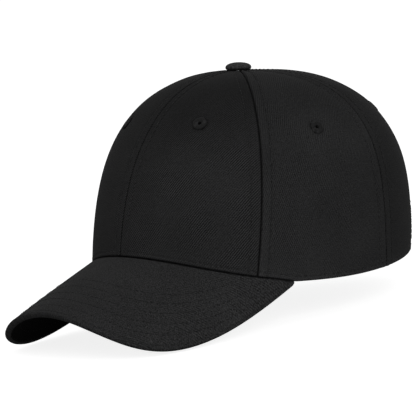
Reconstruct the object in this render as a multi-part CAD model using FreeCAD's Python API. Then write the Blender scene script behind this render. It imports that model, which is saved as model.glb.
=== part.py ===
import FreeCAD, Part

# Six-panel baseball cap: structured front, curved brim, hook-and-loop strap across a rear opening.
#
# Row frame: origin at the centre of the head opening, +Z up through the crown, -Y towards the
# front of the brim, +X towards the wearer's left. Lengths are millimetres, angles are degrees.
#
# Every sheet of the crown is laid out on one surface, crown_point(theta, rise):
#   theta  angle round the crown, 0 at the front, 90 at the wearer's left, 180 at the back
#   rise   0 at the widest level, 1 at the apex, below 0 for the wall under that level
# "depth" is the distance inwards from that outer surface, so 0 is the outside of the fabric.

import math
import os

Vec = FreeCAD.Vector

# ---- crown surface ----
HALF_WIDTH = 86.0        # outer half width at the opening
FRONT_LENGTH = 104.7     # outer reach ahead of the origin
BACK_LENGTH = 103.1      # outer reach behind the origin
CROWN_HEIGHT = 110.0     # widest level to apex, along the crown's own axis
CROWN_TILT = 7.2         # the crown's axis leans back, so the front stands taller
CROWN_LIFT = 16.2        # height of the crown's widest level at the origin
HEM_BACK = 5.3           # height of the hem at the centre back
HEM_SAG = 4.4            # the hem dips this much between the brim's end and the back
HEM_SKEW = 0.72          # and dips soonest beside the brim
APEX_SHIFT = -6.7        # the apex sits this far ahead of the middle
LEVEL_POWER = (2.36, 3.73, 2.67)    # front, side and back: how long the wall stays upright
ROUND_POWER = (2.25, 2.40, 2.90)    # front, side and back: how flat the top is
WALL_LEAN = (0.105, 0.033, -0.044)  # front, side and back: share by which the wall draws in

# ---- panel seams ----
SIDE_SEAM_BASE = 57.0    # front-to-side seam at the opening
SIDE_SEAM_APEX = 61.6    # and at the apex
REAR_SEAM_BASE = 110.7   # side-to-back seam at the opening
REAR_SEAM_APEX = 111.8
SEAM_SWING = 1.6         # above 1, the seams swing early from their base to their apex angle
SEAM_GAP = 0.3           # between neighbouring panels

# ---- brim ----
BRIM_END = 70.6          # theta where the brim meets the crown's side
BRIM_RAISE = 32.1        # height of the brim's seam at the front centre
BRIM_PITCH = 17.3        # the brim slopes down this much towards its front
BRIM_SAG = 0.023         # further drop that grows with the distance forwards
BRIM_REACH = 64.9        # plan distance from the seam to the brim's front
ARCH_DEPTH = 80.0        # the brim's cross section is part of an ellipse this deep
ARCH_HALF_WIDTH = 84.1   # and this wide
ARCH_TIGHTEN = 0.195     # the arch gets this much deeper at the front
FRONT_HANDLE = 72.8      # how square the outline is at the front
SIDE_HANDLE = 103.2      # how straight the outline's sides are
SIDE_FLARE = -4.1        # how far the outline's sides lean outwards

# ---- sheet thicknesses ----
PANEL_THICK = 1.0
BUCKRAM_THICK = 0.8
TAPE_THICK = 0.5
TAPE_HALF_WIDTH = 6.0
LAYER_GAP = 0.15
EDGE_CLEAR = 0.3         # between the crown's edge and the brim
BUCKRAM_DEPTH = PANEL_THICK + LAYER_GAP
BUCKRAM_TOP_RADIUS = 14.0
TAPE_DEPTH = BUCKRAM_DEPTH + BUCKRAM_THICK + LAYER_GAP
TAPE_TOP_RADIUS = 2.8
WEDGE_HALF_ANGLE = 21.0  # the tapes narrow to wedges where they meet at the apex
ARCH_TAPE_DEPTH = PANEL_THICK + LAYER_GAP
BRIM_COVER_THICK = 0.5
BRIM_BOARD_THICK = 2.0
BRIM_LAYER_GAP = 0.1
BRIM_THICK = 2 * BRIM_COVER_THICK + BRIM_BOARD_THICK + 2 * BRIM_LAYER_GAP
BRIM_END_SHARE = 0.985   # the covers stop this share of the way to the brim's points
BRIM_BOARD_SHARE = 0.97
BRIM_BOARD_ROOT = 2.4    # the board stops this far from the crown, where the covers are sewn in
SWEATBAND_HEIGHT = 33.0
SWEATBAND_THICK = 0.8
SWEATBAND_DEPTH = TAPE_DEPTH + TAPE_THICK + 2 * LAYER_GAP
SWEATBAND_END = 145.0    # theta of its two ends, beside the rear opening
PADDING_END = 139.0      # theta where the padding stops, clear of the strap's roots
THREAD = 0.5
STITCH_OFFSET = 6.0      # rows of topstitching beside each seam
STITCH_TOP_RADIUS = 8.6
STITCH_MARGIN = 2.0      # brim rows stop this far short of the crown
BRIM_ROWS = (2.6, 9.0, 16.0, 23.0, 30.0, 37.0)

# ---- button and eyelets ----
BUTTON_RADIUS = 7.5
BUTTON_HEIGHT = 4.8
BUTTON_HOLE_RADIUS = 2.0
BUTTON_CLEAR = 0.25      # under the button's rim
BUTTON_CLOTH = 0.6
BUTTON_METAL = 0.5
BUTTON_FIT = 0.05        # between the metal dome and its cloth
BUTTON_MOUTH = 4.4       # radius of the hole under the button
BUTTON_SHOULDER = 1.9    # width of the rounded shoulder
RIVET_FOOT = 0.7
STEM_RADIUS = 1.6
WASHER_RADIUS = 6.0
WASHER_THICK = 0.6
WASHER_DEPTH = 3.1       # below the apex
DOME_SIDE = 0.36         # share of the dome's height at its widest level
DOME_TURN = 0.84         # and at the end of its rounded shoulder
DOME_TUCK = 0.8          # the dome's rim draws in this much at its base
RIVET_CLEAR = 0.1        # between the rivet, the washer and the dome
RIVET_HEAD_DROP = 0.7    # the rivet's head stays this far under the dome
RIVET_ROUND = 0.3
EYELET_THETAS = (33.0, 86.0, 150.0)  # front, side and back
EYELET_LEVELS = (81.0, 76.3, 84.8)   # heights along the crown's axis
EYELET_HOLE_RADIUS = 2.5
EYELET_RADIUS = 4.4
EYELET_BORE_RADIUS = 1.0
EYELET_REACH = 8.0       # half length of the cutter for an eyelet's hole
EYELET_LIP = 0.6         # thickness of the thread on each face
EYELET_SKIN = 0.15       # between the thread and the cloth
EYELET_ROUND = 0.3       # rounding of its edges

# ---- rear opening and strap ----
ARCH_WIDTH = 92.0        # rear opening
ARCH_HEIGHT = 54.0
ARCH_FOOT = 5.0          # the opening's tape starts this far above the opening plane
ARCH_TAPE_WIDTH = 12.0
STRAP_LOW = 6.0          # the strap's lower edge above the opening plane
STRAP_WIDTH = 26.0
STRAP_THICK = 1.4
STRAP_DEPTH = 1.9        # depth of the straps where they enter the cap
HOOK_STRAP_DEPTH = -2.05  # depth of the hook strap over the loop strap
STRAP_CLIMB = 20.0       # length over which the hook strap climbs
TAPE_PAD_THICK = 1.1     # hook and loop tapes
TAPE_PAD_INSET = 2.5     # from the strap's edges
PAD_GAP = 0.1            # between a tape and its strap
LOOP_TAPE_FROM = 25.0
HOOK_TAPE_FROM = -8.0
HINGE_X = 36.0           # the straps bend at this distance from the centre
HINGE_GAP = 1.1          # clear space on each side of a bend
STRAP_TIP_X = 22.0       # each strap's free end, past the centre
TIP_LENGTH = 7.0         # rounded end
TIP_ROUND = 0.93         # share of a quarter circle that the rounding uses
ANCHOR_X = 52.0          # the strap's sewn root, inside the cap

# ---- how finely each kind of sheet is sampled: columns and rows ----
PANEL_GRID = (18, 18)
BUCKRAM_GRID = (10, 14)
TAPE_GRID = (4, 18)
ARCH_TAPE_GRID = (24, 3)
BAND_GRID = (48, 4)
BRIM_GRID = (40, 8)
STRAP_ROWS = 4
ANCHOR_COLUMNS = 6
LOOP_STRAP_COLUMNS = 20
HOOK_STRAP_COLUMNS = 24
LOOP_TAPE_COLUMNS = 12
HOOK_TAPE_COLUMNS = 10
SETTLE_STEPS = 6         # repeats until a point found by turns stops moving


# ---------------------------------------------------------------- surface of the crown

def mix(theta, front_side_back):
    """A value that changes smoothly from front to side to back."""
    front, side, back = front_side_back
    c = math.cos(theta)
    return side + (front - back) / 2 * c + ((front + back) / 2 - side) * c * c


def ease(share):
    """Smooth step from 0 to 1."""
    share = min(max(share, 0.0), 1.0)
    return share * share * (3 - 2 * share)


def level_of(rise):
    """Share of the crown's height at a rise."""
    return math.sin(min(rise, 1.0) * math.pi / 2) if rise > 0 else rise * math.pi / 2


def spread(theta, rise):
    """Size of the crown's outline at a rise, as a share of its size at the opening."""
    level = level_of(rise)
    rounded = max(1 - max(level, 0.0) ** mix(theta, LEVEL_POWER), 0.0)
    return rounded ** (1 / mix(theta, ROUND_POWER)) * (1 - mix(theta, WALL_LEAN) * level)


def crown_point(theta, rise):
    """Point of the crown's outer surface in the row frame."""
    level = level_of(rise)
    share = spread(theta, rise)
    middle = (FRONT_LENGTH + BACK_LENGTH) / 2
    offset = (BACK_LENGTH - FRONT_LENGTH) / 2
    c = math.cos(theta)
    x = HALF_WIDTH * math.sin(theta) * share
    y = (offset * c * c - middle * c) * share + APEX_SHIFT * max(level, 0.0) ** 2
    z = CROWN_HEIGHT * level
    sine, cosine = math.sin(math.radians(CROWN_TILT)), math.cos(math.radians(CROWN_TILT))
    return Vec(x, y * cosine + z * sine, CROWN_LIFT + z * cosine - y * sine)


def crown_normal(theta, rise):
    """Unit normal of the crown's surface, pointing out."""
    step = 1e-3
    rise = min(rise, 1 - 2 * step)
    around = crown_point(theta + step, rise) - crown_point(theta - step, rise)
    upwards = crown_point(theta, rise + step) - crown_point(theta, rise - step)
    return around.cross(upwards).normalize()


def layer_point(theta, rise, depth):
    """Point at a depth inside the crown's outer surface."""
    return crown_point(theta, rise) - crown_normal(theta, rise) * depth


def bisect(test, low, high, steps=30):
    """The value between low and high where test turns from False to True."""
    for _ in range(steps):
        middle = (low + high) / 2
        if test(middle):
            high = middle
        else:
            low = middle
    return (low + high) / 2


def rise_at_height(theta, height):
    return bisect(lambda rise: crown_point(theta, rise).z > height, -0.35, 0.95)


def rise_at_radius(theta, radius):
    """Rise where the surface is this far from the apex, measured in plan."""
    apex = crown_point(0, 1)
    def close(rise):
        return math.hypot(*(crown_point(theta, rise) - apex)[:2]) < radius
    return bisect(close, 0.5, 1.0)


# ---------------------------------------------------------------- surface of the brim

def brim_height(x, y):
    """Height of the brim's top surface over the plan point x, y."""
    forward = -FRONT_LENGTH - y
    share = forward / BRIM_REACH
    arch = ARCH_DEPTH * (1 - math.sqrt(1 - (x / ARCH_HALF_WIDTH) ** 2))
    drop = math.tan(math.radians(BRIM_PITCH)) * forward + BRIM_SAG * forward * abs(share)
    return BRIM_RAISE - drop - arch * (1 + ARCH_TIGHTEN * share)


def brim_layer_point(x, y, depth):
    """Point at a depth under the brim's top surface."""
    step = 0.01
    slope_x = (brim_height(x + step, y) - brim_height(x - step, y)) / (2 * step)
    slope_y = (brim_height(x, y + step) - brim_height(x, y - step)) / (2 * step)
    normal = Vec(-slope_x, -slope_y, 1).normalize()
    return Vec(x, y, brim_height(x, y)) - normal * depth


def seam_rise(theta):
    """Rise of the crown's lower edge where it sits on the brim."""
    rise = 0.0
    for _ in range(SETTLE_STEPS):
        point = crown_point(theta, rise)
        rise = rise_at_height(theta, brim_height(point.x, point.y))
    return rise


def signed(theta):
    """theta brought into -180 to 180 degrees, in radians."""
    return math.atan2(math.sin(theta), math.cos(theta))


def edge_rise(theta):
    """Rise of the crown's lower edge: on the brim in front, then level round the back."""
    away = abs(signed(theta))
    if away <= BRIM_END_ANGLE:
        return seam_rise(away)
    share = (away - BRIM_END_ANGLE) / (math.pi - BRIM_END_ANGLE)
    level = BRIM_END_HEIGHT + (HEM_BACK - BRIM_END_HEIGHT) * ease(share)
    along = share * (1 + HEM_SKEW * (1 - share))
    return rise_at_height(away, level - HEM_SAG * math.sin(math.pi * along))


BRIM_END_ANGLE = math.radians(BRIM_END)
FRONT_Y = crown_point(0, seam_rise(0)).y
BRIM_END_HEIGHT = crown_point(BRIM_END_ANGLE, seam_rise(BRIM_END_ANGLE)).z


def brim_outline(side):
    """Plan point of the brim's outer edge; side runs from -1 to 1 across the brim."""
    end = crown_point(BRIM_END_ANGLE, seam_rise(BRIM_END_ANGLE))
    handles = [
        (0, FRONT_Y - BRIM_REACH),
        (FRONT_HANDLE, FRONT_Y - BRIM_REACH),
        (end.x + SIDE_FLARE, end.y - SIDE_HANDLE),
        (end.x, end.y),
    ]
    u = abs(side)
    weights = [(1 - u) ** 3, 3 * u * (1 - u) ** 2, 3 * u * u * (1 - u), u ** 3]
    x = sum(w * h[0] for w, h in zip(weights, handles))
    y = sum(w * h[1] for w, h in zip(weights, handles))
    return math.copysign(x, side), y


def brim_plan(side, out):
    """Plan point of the brim; out runs from 0 at the crown to 1 at the outer edge."""
    theta = side * BRIM_END_ANGLE
    inner = crown_point(theta, seam_rise(theta))
    outer = brim_outline(side)
    return inner.x + (outer[0] - inner.x) * out, inner.y + (outer[1] - inner.y) * out


# ---------------------------------------------------------------- solids from grids of points

def grid_surface(points):
    surface = Part.BSplineSurface()
    surface.interpolate(points)
    return surface


def boundary(surface):
    """The surface's four edges, in the order low u, high u, low v, high v."""
    u0, u1, v0, v1 = surface.bounds()
    curves = [surface.uIso(u0), surface.uIso(u1), surface.vIso(v0), surface.vIso(v1)]
    return [curve.toShape() for curve in curves]


def closed_sheet(outer_points, inner_points):
    """A solid between two grids of points, closed by ruled faces round its rim."""
    outer = grid_surface(outer_points)
    inner = grid_surface(inner_points)
    faces = [outer.toShape(), inner.toShape()]
    for a, b in zip(boundary(outer), boundary(inner)):
        faces.append(Part.makeRuledSurface(a, b))
    shell = Part.makeShell(faces)
    shell.sewShape()
    solid = Part.makeSolid(Part.Shell(shell.Faces) if shell.ShapeType != "Shell" else shell)
    if solid.Volume < 0:
        solid.reverse()
    if not solid.isValid() or not solid.isClosed():
        raise ValueError("a sheet did not close")
    return solid


def sheet(point_at, outer_depth, inner_depth, columns, rows):
    """A closed sheet; point_at(u, v, depth) with u and v from 0 to 1."""
    def grid(depth):
        return [[point_at(i / columns, j / rows, depth) for j in range(rows + 1)]
                for i in range(columns + 1)]
    return closed_sheet(grid(outer_depth), grid(inner_depth))


def save(name, solids):
    shape = solids[0] if len(solids) == 1 else Part.makeCompound(solids)
    shape.exportStep(f"parts/{name}.step")


def mirrored(solid):
    """The same solid on the wearer's other side."""
    return solid.mirror(Vec(0, 0, 0), Vec(1, 0, 0))


# ---------------------------------------------------------------- crown sheets

FRONT_SEAM = (0.0, 0.0)
SIDE_SEAM = (SIDE_SEAM_BASE, SIDE_SEAM_APEX)
REAR_SEAM = (REAR_SEAM_BASE, REAR_SEAM_APEX)
BACK_SEAM = (180.0, 180.0)


def seam_theta(seam, rise):
    """Angle of a seam, given as its base and apex angles, at a rise."""
    base, apex = seam
    share = 1 - (1 - level_of(rise)) ** SEAM_SWING
    return math.radians(base + (apex - base) * share)


def plan_radius(theta, rise):
    """Distance of a point of the crown from the apex, in plan."""
    return math.hypot(*(crown_point(theta, rise) - crown_point(0, 1))[:2])


def lower_edge(theta):
    """The crown's cut edge, just clear of the brim."""
    return edge_rise(theta) + EDGE_CLEAR / (CROWN_HEIGHT * math.pi / 2)


def radius_end(radius):
    """An upper limit for a sheet: a circle of this radius round the apex."""
    return lambda theta: rise_at_radius(theta, radius)


def between_seams(left, right, top):
    """point_at for a panel-shaped sheet that fills the space between two seams."""
    def point_at(u, v, depth):
        base = math.radians(left[0] + (right[0] - left[0]) * u)
        low = lower_edge(base)
        rise = low + (top(base) - low) * v
        a, b = seam_theta(left, rise), seam_theta(right, rise)
        trim = SEAM_GAP / 2 / plan_radius((a + b) / 2, rise)
        return layer_point(a + trim + (b - a - 2 * trim) * u, rise, depth)
    return point_at


def along_seam(seam, half_width, offset, low, top):
    """point_at for a narrow strip that follows a seam, shifted sideways by offset."""
    base = math.radians(seam[0])
    start = low(base + offset / plan_radius(base, 0))
    stop = top(base)
    def point_at(u, v, depth):
        rise = start + (stop - start) * v
        theta = seam_theta(seam, rise)
        radius = plan_radius(theta, rise)
        wedge = radius * math.sin(math.radians(WEDGE_HALF_ANGLE))
        half = half_width * wedge / math.hypot(half_width, wedge)
        side = offset * wedge / math.hypot(offset, wedge) if offset else 0.0
        return layer_point(theta + (side + half * (2 * u - 1)) / radius, rise, depth)
    return point_at


def ring(theta_end, low, height):
    """point_at for a band that runs round the front between two equal angles."""
    def point_at(u, v, depth):
        theta = math.radians(theta_end) * (2 * u - 1)
        rise = low(theta)
        bottom = crown_point(theta, rise).z
        return layer_point(theta, rise + (rise_at_height(theta, bottom + height) - rise) * v, depth)
    return point_at


def rear_place(x, z):
    """theta and rise of the point of the crown's back at a given x and z."""
    theta = math.pi
    for _ in range(SETTLE_STEPS):
        rise = rise_at_height(theta, z)
        theta = math.pi - math.asin(x / (HALF_WIDTH * spread(theta, rise)))
    return theta, rise


def rear_arch(offset, clear):
    """point_at for a band round the rear opening, from its edge outwards."""
    def point_at(u, v, depth):
        reach = clear + (offset - clear) * v
        low = math.asin(ARCH_FOOT / ARCH_HEIGHT)
        turn = low + (math.pi - 2 * low) * u
        half = ARCH_WIDTH / 2
        normal = Vec(math.cos(turn) / half, math.sin(turn) / ARCH_HEIGHT, 0).normalize()
        x = half * math.cos(turn) + normal.x * reach
        z = ARCH_HEIGHT * math.sin(turn) + normal.y * reach
        return layer_point(*rear_place(x, z), depth)
    return point_at


def eyelet_place(which):
    """Placement with its origin on the crown's surface and its z axis along the normal."""
    rise = math.asin(EYELET_LEVELS[which] / CROWN_HEIGHT) * 2 / math.pi
    angle = math.radians(EYELET_THETAS[which])
    turn = FreeCAD.Rotation(Vec(0, 0, 1), crown_normal(angle, rise))
    return FreeCAD.Placement(crown_point(angle, rise), turn)


def eyelet_hole(which):
    hole = Part.makeCylinder(EYELET_HOLE_RADIUS, 2 * EYELET_REACH, Vec(0, 0, -EYELET_REACH))
    hole.Placement = eyelet_place(which).multiply(hole.Placement)
    return hole


def rear_opening():
    """The rear opening's space: an upright half ellipse carried backwards."""
    centre = Vec(0, BACK_LENGTH / 3, 0)
    curve = Part.Ellipse(centre + Vec(0, 0, ARCH_HEIGHT), centre + Vec(ARCH_WIDTH / 2, 0, 0), centre)
    return Part.Face(Part.Wire(curve.toShape())).extrude(Vec(0, BACK_LENGTH, 0))


def panels():
    """The wearer's left half of the crown: front, side and back panels."""
    top = radius_end(BUTTON_HOLE_RADIUS)
    seams = [FRONT_SEAM, SIDE_SEAM, REAR_SEAM, BACK_SEAM]
    made = []
    for which in range(3):
        point_at = between_seams(seams[which], seams[which + 1], top)
        whole = sheet(point_at, 0, PANEL_THICK, *PANEL_GRID)
        made.append(whole.cut(eyelet_hole(which)))
    made[-1] = made[-1].cut(rear_opening())
    return made


def save_panels():
    for name, solid in zip(("front", "side", "back"), panels()):
        save(f"{name}_left_panel", [solid])
        save(f"{name}_right_panel", [mirrored(solid)])


def save_buckram():
    """Stiffener behind each front panel."""
    point_at = between_seams(FRONT_SEAM, SIDE_SEAM, radius_end(BUCKRAM_TOP_RADIUS))
    whole = sheet(point_at, BUCKRAM_DEPTH, BUCKRAM_DEPTH + BUCKRAM_THICK, *BUCKRAM_GRID)
    solid = whole.cut(eyelet_hole(0))
    save("front_left_buckram", [solid])
    save("front_right_buckram", [mirrored(solid)])


def seam_tape(seam, low=lower_edge):
    top = radius_end(TAPE_TOP_RADIUS)
    point_at = along_seam(seam, TAPE_HALF_WIDTH, 0, low, top)
    return sheet(point_at, TAPE_DEPTH, TAPE_DEPTH + TAPE_THICK, *TAPE_GRID)


def above_arch(theta):
    return rise_at_height(theta, ARCH_HEIGHT + ARCH_TAPE_WIDTH + LAYER_GAP)


def save_tapes():
    save("front_seam_tape", [seam_tape(FRONT_SEAM)])
    save("back_seam_tape", [seam_tape(BACK_SEAM, above_arch)])
    for name, seam in (("front", SIDE_SEAM), ("back", REAR_SEAM)):
        solid = seam_tape(seam)
        save(f"{name}_left_seam_tape", [solid])
        save(f"{name}_right_seam_tape", [mirrored(solid)])
    arch = rear_arch(ARCH_TAPE_WIDTH, LAYER_GAP)
    inner_depth = ARCH_TAPE_DEPTH + TAPE_THICK
    save("rear_opening_tape", [sheet(arch, ARCH_TAPE_DEPTH, inner_depth, *ARCH_TAPE_GRID)])


def save_sweatband():
    padding = ring(PADDING_END, lower_edge, SWEATBAND_HEIGHT)
    band = ring(SWEATBAND_END, lower_edge, SWEATBAND_HEIGHT)
    cover = SWEATBAND_DEPTH + SWEATBAND_THICK + LAYER_GAP
    save("sweatband_padding", [sheet(padding, SWEATBAND_DEPTH, cover - LAYER_GAP, *BAND_GRID)])
    save("sweatband", [sheet(band, cover, cover + SWEATBAND_THICK, *BAND_GRID)])


def thread_strip(point_at, columns, rows):
    return sheet(point_at, -LAYER_GAP / 3 - THREAD, -LAYER_GAP / 3, columns, rows)


def save_crown_stitching():
    """A row of topstitching on each side of every seam."""
    rows = []
    top = radius_end(STITCH_TOP_RADIUS)
    for seam, low in ((FRONT_SEAM, lower_edge), (SIDE_SEAM, lower_edge),
                      (REAR_SEAM, lower_edge), (BACK_SEAM, above_arch)):
        for offset in (STITCH_OFFSET, -STITCH_OFFSET):
            row = thread_strip(along_seam(seam, THREAD / 2, offset, low, top), 1, TAPE_GRID[1])
            rows.append(row)
            if seam in (SIDE_SEAM, REAR_SEAM):
                rows.append(mirrored(row))
    save("crown_topstitching", rows)


# ---------------------------------------------------------------- button and eyelets

def revolved(points):
    """Solid of revolution about z; each point is (radius, height), and three in a row make an arc
    where the middle one is marked with a third value."""
    edges = []
    corners = [Vec(p[0], 0, p[1]) for p in points]
    i = 0
    while i < len(points):
        following = (i + 1) % len(points)
        if len(points[following]) == 3:
            end = (i + 2) % len(points)
            edges.append(Part.Arc(corners[i], corners[following], corners[end]).toShape())
            i += 2
        else:
            edges.append(Part.makeLine(corners[i], corners[following]))
            i += 1
    face = Part.Face(Part.Wire(edges))
    return face.revolve(Vec(0, 0, 0), Vec(0, 0, 1), 360)


def dome_curve(radius, base, top):
    """Half section of a button's dome: rounded rim, shoulder, then a low crowned top."""
    shoulder = radius - BUTTON_SHOULDER
    side = base + (top - base) * DOME_SIDE
    turn = base + (top - base) * DOME_TURN
    sphere = (shoulder ** 2 + (top - turn) ** 2) / (2 * (top - turn))
    return [
        (radius - DOME_TUCK, base), (radius - DOME_TUCK / 5, base + (side - base) / 3, "arc"), (radius, side),
        (radius - BUTTON_SHOULDER / 4, side + (turn - side) * 0.6, "arc"), (shoulder, turn),
        (shoulder / 2, top - sphere + math.sqrt(sphere ** 2 - shoulder ** 2 / 4), "arc"), (0, top),
    ]


def dome_shell(radius, base, top, thick, mouth):
    """Hollow dome with its rim turned in under it as far as mouth."""
    outer = dome_curve(radius, base, top)
    inner = dome_curve(radius - thick, base + thick, top - thick)
    return revolved([(mouth, base)] + outer + inner[::-1] + [(mouth, base + thick)])


def at_apex(solid):
    turn = FreeCAD.Rotation(Vec(1, 0, 0), -CROWN_TILT)
    solid.Placement = FreeCAD.Placement(crown_point(0, 1), turn)
    return solid


def save_button():
    cap_radius = BUTTON_RADIUS - BUTTON_CLOTH - BUTTON_FIT
    cap_base = BUTTON_CLEAR + BUTTON_CLOTH + BUTTON_FIT
    cap_top = BUTTON_HEIGHT - BUTTON_CLOTH - BUTTON_FIT
    cover = dome_shell(BUTTON_RADIUS, BUTTON_CLEAR, BUTTON_HEIGHT, BUTTON_CLOTH, BUTTON_MOUTH)
    cap = dome_shell(cap_radius, cap_base, cap_top, BUTTON_METAL, BUTTON_MOUTH + BUTTON_FIT)
    save("button_cover", [at_apex(cover)])
    save("button_cap", [at_apex(cap)])
    head_top = cap_top - BUTTON_METAL - RIVET_HEAD_DROP
    head_base = cap_base + BUTTON_METAL + RIVET_CLEAR
    foot_top = -WASHER_DEPTH - WASHER_THICK - RIVET_CLEAR
    foot_radius = STEM_RADIUS * 1.8
    rivet = revolved([
        (0, foot_top - RIVET_FOOT), (foot_radius - RIVET_ROUND, foot_top - RIVET_FOOT),
        (foot_radius, foot_top - RIVET_FOOT / 2, "arc"), (foot_radius - RIVET_ROUND, foot_top),
        (STEM_RADIUS, foot_top), (STEM_RADIUS, head_base), (STEM_RADIUS * 2.2, head_base),
        (STEM_RADIUS * 2.2, head_top), (0, head_top),
    ])
    save("button_rivet", [at_apex(rivet)])
    bore = STEM_RADIUS + RIVET_CLEAR
    low, high = -WASHER_DEPTH - WASHER_THICK, -WASHER_DEPTH
    washer = revolved([
        (bore, low), (WASHER_RADIUS - RIVET_ROUND, low), (WASHER_RADIUS, (low + high) / 2, "arc"),
        (WASHER_RADIUS - RIVET_ROUND, high), (bore, high),
    ])
    save("button_washer", [at_apex(washer)])


def eyelet(which, cloth):
    """Thread-bound ring gripping both faces of a layer of cloth this thick."""
    barrel = EYELET_HOLE_RADIUS - EYELET_SKIN
    top = EYELET_SKIN + EYELET_LIP
    under = -cloth - EYELET_SKIN
    ring_solid = revolved([
        (EYELET_BORE_RADIUS, under - EYELET_LIP), (EYELET_RADIUS - EYELET_ROUND, under - EYELET_LIP),
        (EYELET_RADIUS, under - EYELET_LIP / 2, "arc"), (EYELET_RADIUS - EYELET_ROUND, under),
        (barrel, under), (barrel, EYELET_SKIN), (EYELET_RADIUS - EYELET_ROUND, EYELET_SKIN),
        (EYELET_RADIUS, EYELET_SKIN + EYELET_LIP / 2, "arc"), (EYELET_RADIUS - EYELET_ROUND, top),
        (EYELET_BORE_RADIUS + EYELET_ROUND, top), (EYELET_BORE_RADIUS, top - EYELET_ROUND),
    ])
    ring_solid.Placement = eyelet_place(which)
    return ring_solid


def save_eyelets():
    front_cloth = BUCKRAM_DEPTH + BUCKRAM_THICK
    made = []
    for which, cloth in enumerate((front_cloth, PANEL_THICK, PANEL_THICK)):
        solid = eyelet(which, cloth)
        made += [solid, mirrored(solid)]
    save("eyelets", made)


# ---------------------------------------------------------------- brim sheets

def brim_sheet(outer_depth, inner_depth, end_share, crown_inset, edge_inset):
    """A layer of the brim, held back from the crown, the outer edge and the two ends."""
    def point_at(u, v, depth):
        side = (2 * u - 1) * end_share
        length = math.dist(brim_plan(side, 0), brim_plan(side, 1))
        start, stop = crown_inset / length, 1 - edge_inset / length
        return brim_layer_point(*brim_plan(side, start + (stop - start) * v), depth)
    return sheet(point_at, outer_depth, inner_depth, *BRIM_GRID)


def brim_edge_fold():
    """The top cover turned down over the board's edge."""
    def point_at(u, v, depth):
        side = (2 * u - 1) * BRIM_END_SHARE
        length = math.dist(brim_plan(side, 0), brim_plan(side, 1))
        return brim_layer_point(*brim_plan(side, 1 - BRIM_COVER_THICK / length * (1 - v)), depth)
    return sheet(point_at, BRIM_COVER_THICK, BRIM_THICK, BRIM_GRID[0], 1)


def brim_length(side):
    return math.dist(brim_plan(side, 0), brim_plan(side, 1))


def brim_stitch_row(offset):
    """Thread at a fixed distance inside the brim's outer edge, as far as the crown allows."""
    last = bisect(lambda side: brim_length(side) < offset + STITCH_MARGIN, 0.3, BRIM_END_SHARE)
    def point_at(u, v, depth):
        side = (2 * u - 1) * last
        reach = offset + THREAD * (0.5 - v)
        return brim_layer_point(*brim_plan(side, 1 - reach / brim_length(side)), depth)
    return thread_strip(point_at, BRIM_GRID[0], 1)


def save_brim():
    board = BRIM_COVER_THICK + BRIM_LAYER_GAP
    under = board + BRIM_BOARD_THICK + BRIM_LAYER_GAP
    inset = BRIM_COVER_THICK + BRIM_LAYER_GAP
    save("brim_top_cover", [brim_sheet(0, BRIM_COVER_THICK, BRIM_END_SHARE, 0.05, 0), brim_edge_fold()])
    faces = (board, board + BRIM_BOARD_THICK)
    save("brim_board", [brim_sheet(*faces, BRIM_BOARD_SHARE, BRIM_BOARD_ROOT, inset)])
    save("brim_under_cover", [brim_sheet(under, under + BRIM_COVER_THICK, BRIM_END_SHARE, 0.05, inset)])
    save("brim_topstitching", [brim_stitch_row(offset) for offset in BRIM_ROWS])


# ---------------------------------------------------------------- rear strap

def strap_sheet(x_from, x_to, depth_at, thick, low, high, tip, columns):
    """A strap piece along the back. depth_at(x) is its outer face's depth, and the end at x_to is
    rounded off where tip is above 0."""
    def grid(extra):
        rows = []
        for i in range(columns + 1):
            share = math.sin(i / columns * math.pi / 2) if tip else i / columns
            x = x_from + (x_to - x_from) * share
            near = max(0.0, 1 - abs(x_to - x) / tip) if tip else 0.0
            cut = tip * (1 - math.sqrt(1 - (near * TIP_ROUND) ** 2))
            row = []
            for j in range(STRAP_ROWS + 1):
                z = low + cut + (high - low - 2 * cut) * j / STRAP_ROWS
                row.append(layer_point(*rear_place(x, z), depth_at(x) + extra))
            rows.append(row)
        return rows
    return closed_sheet(grid(0), grid(thick))


def root_depth(x):
    """The loop strap, and both straps' roots, keep one depth."""
    return STRAP_DEPTH


def hook_depth(x):
    """The hook strap leaves the inside of the cap and climbs over the loop strap."""
    return STRAP_DEPTH + (HOOK_STRAP_DEPTH - STRAP_DEPTH) * ease((x + HINGE_X) / STRAP_CLIMB)


def save_straps():
    low, high = STRAP_LOW, STRAP_LOW + STRAP_WIDTH
    bend = HINGE_X + HINGE_GAP
    free = HINGE_X - HINGE_GAP
    pad = TAPE_PAD_INSET
    anchor = strap_sheet(ANCHOR_X, bend, root_depth, STRAP_THICK, low, high, 0, ANCHOR_COLUMNS)
    save("loop_strap_anchor", [anchor])
    save("hook_strap_anchor", [mirrored(anchor)])
    shape = (STRAP_THICK, low, high, TIP_LENGTH)
    loop = strap_sheet(free, -STRAP_TIP_X, root_depth, *shape, LOOP_STRAP_COLUMNS)
    hook = strap_sheet(-free, STRAP_TIP_X, hook_depth, *shape, HOOK_STRAP_COLUMNS)
    save("loop_strap", [loop])
    save("hook_strap", [hook])
    loop_depth = STRAP_DEPTH - TAPE_PAD_THICK - PAD_GAP
    hook_tape_depth = HOOK_STRAP_DEPTH + STRAP_THICK + PAD_GAP
    shape = (TAPE_PAD_THICK, low + pad, high - pad, 0)
    loop_end, hook_end = -STRAP_TIP_X + pad, STRAP_TIP_X - pad
    save("loop_tape", [strap_sheet(LOOP_TAPE_FROM, loop_end, lambda x: loop_depth, *shape,
                                   LOOP_TAPE_COLUMNS)])
    save("hook_tape", [strap_sheet(HOOK_TAPE_FROM, hook_end, lambda x: hook_tape_depth, *shape,
                                   HOOK_TAPE_COLUMNS)])


if __name__ == "__main__":
    os.makedirs("parts", exist_ok=True)
    save_panels()
    save_buckram()
    save_tapes()
    save_sweatband()
    save_crown_stitching()
    save_button()
    save_eyelets()
    save_brim()
    save_straps()
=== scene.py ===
import math

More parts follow.
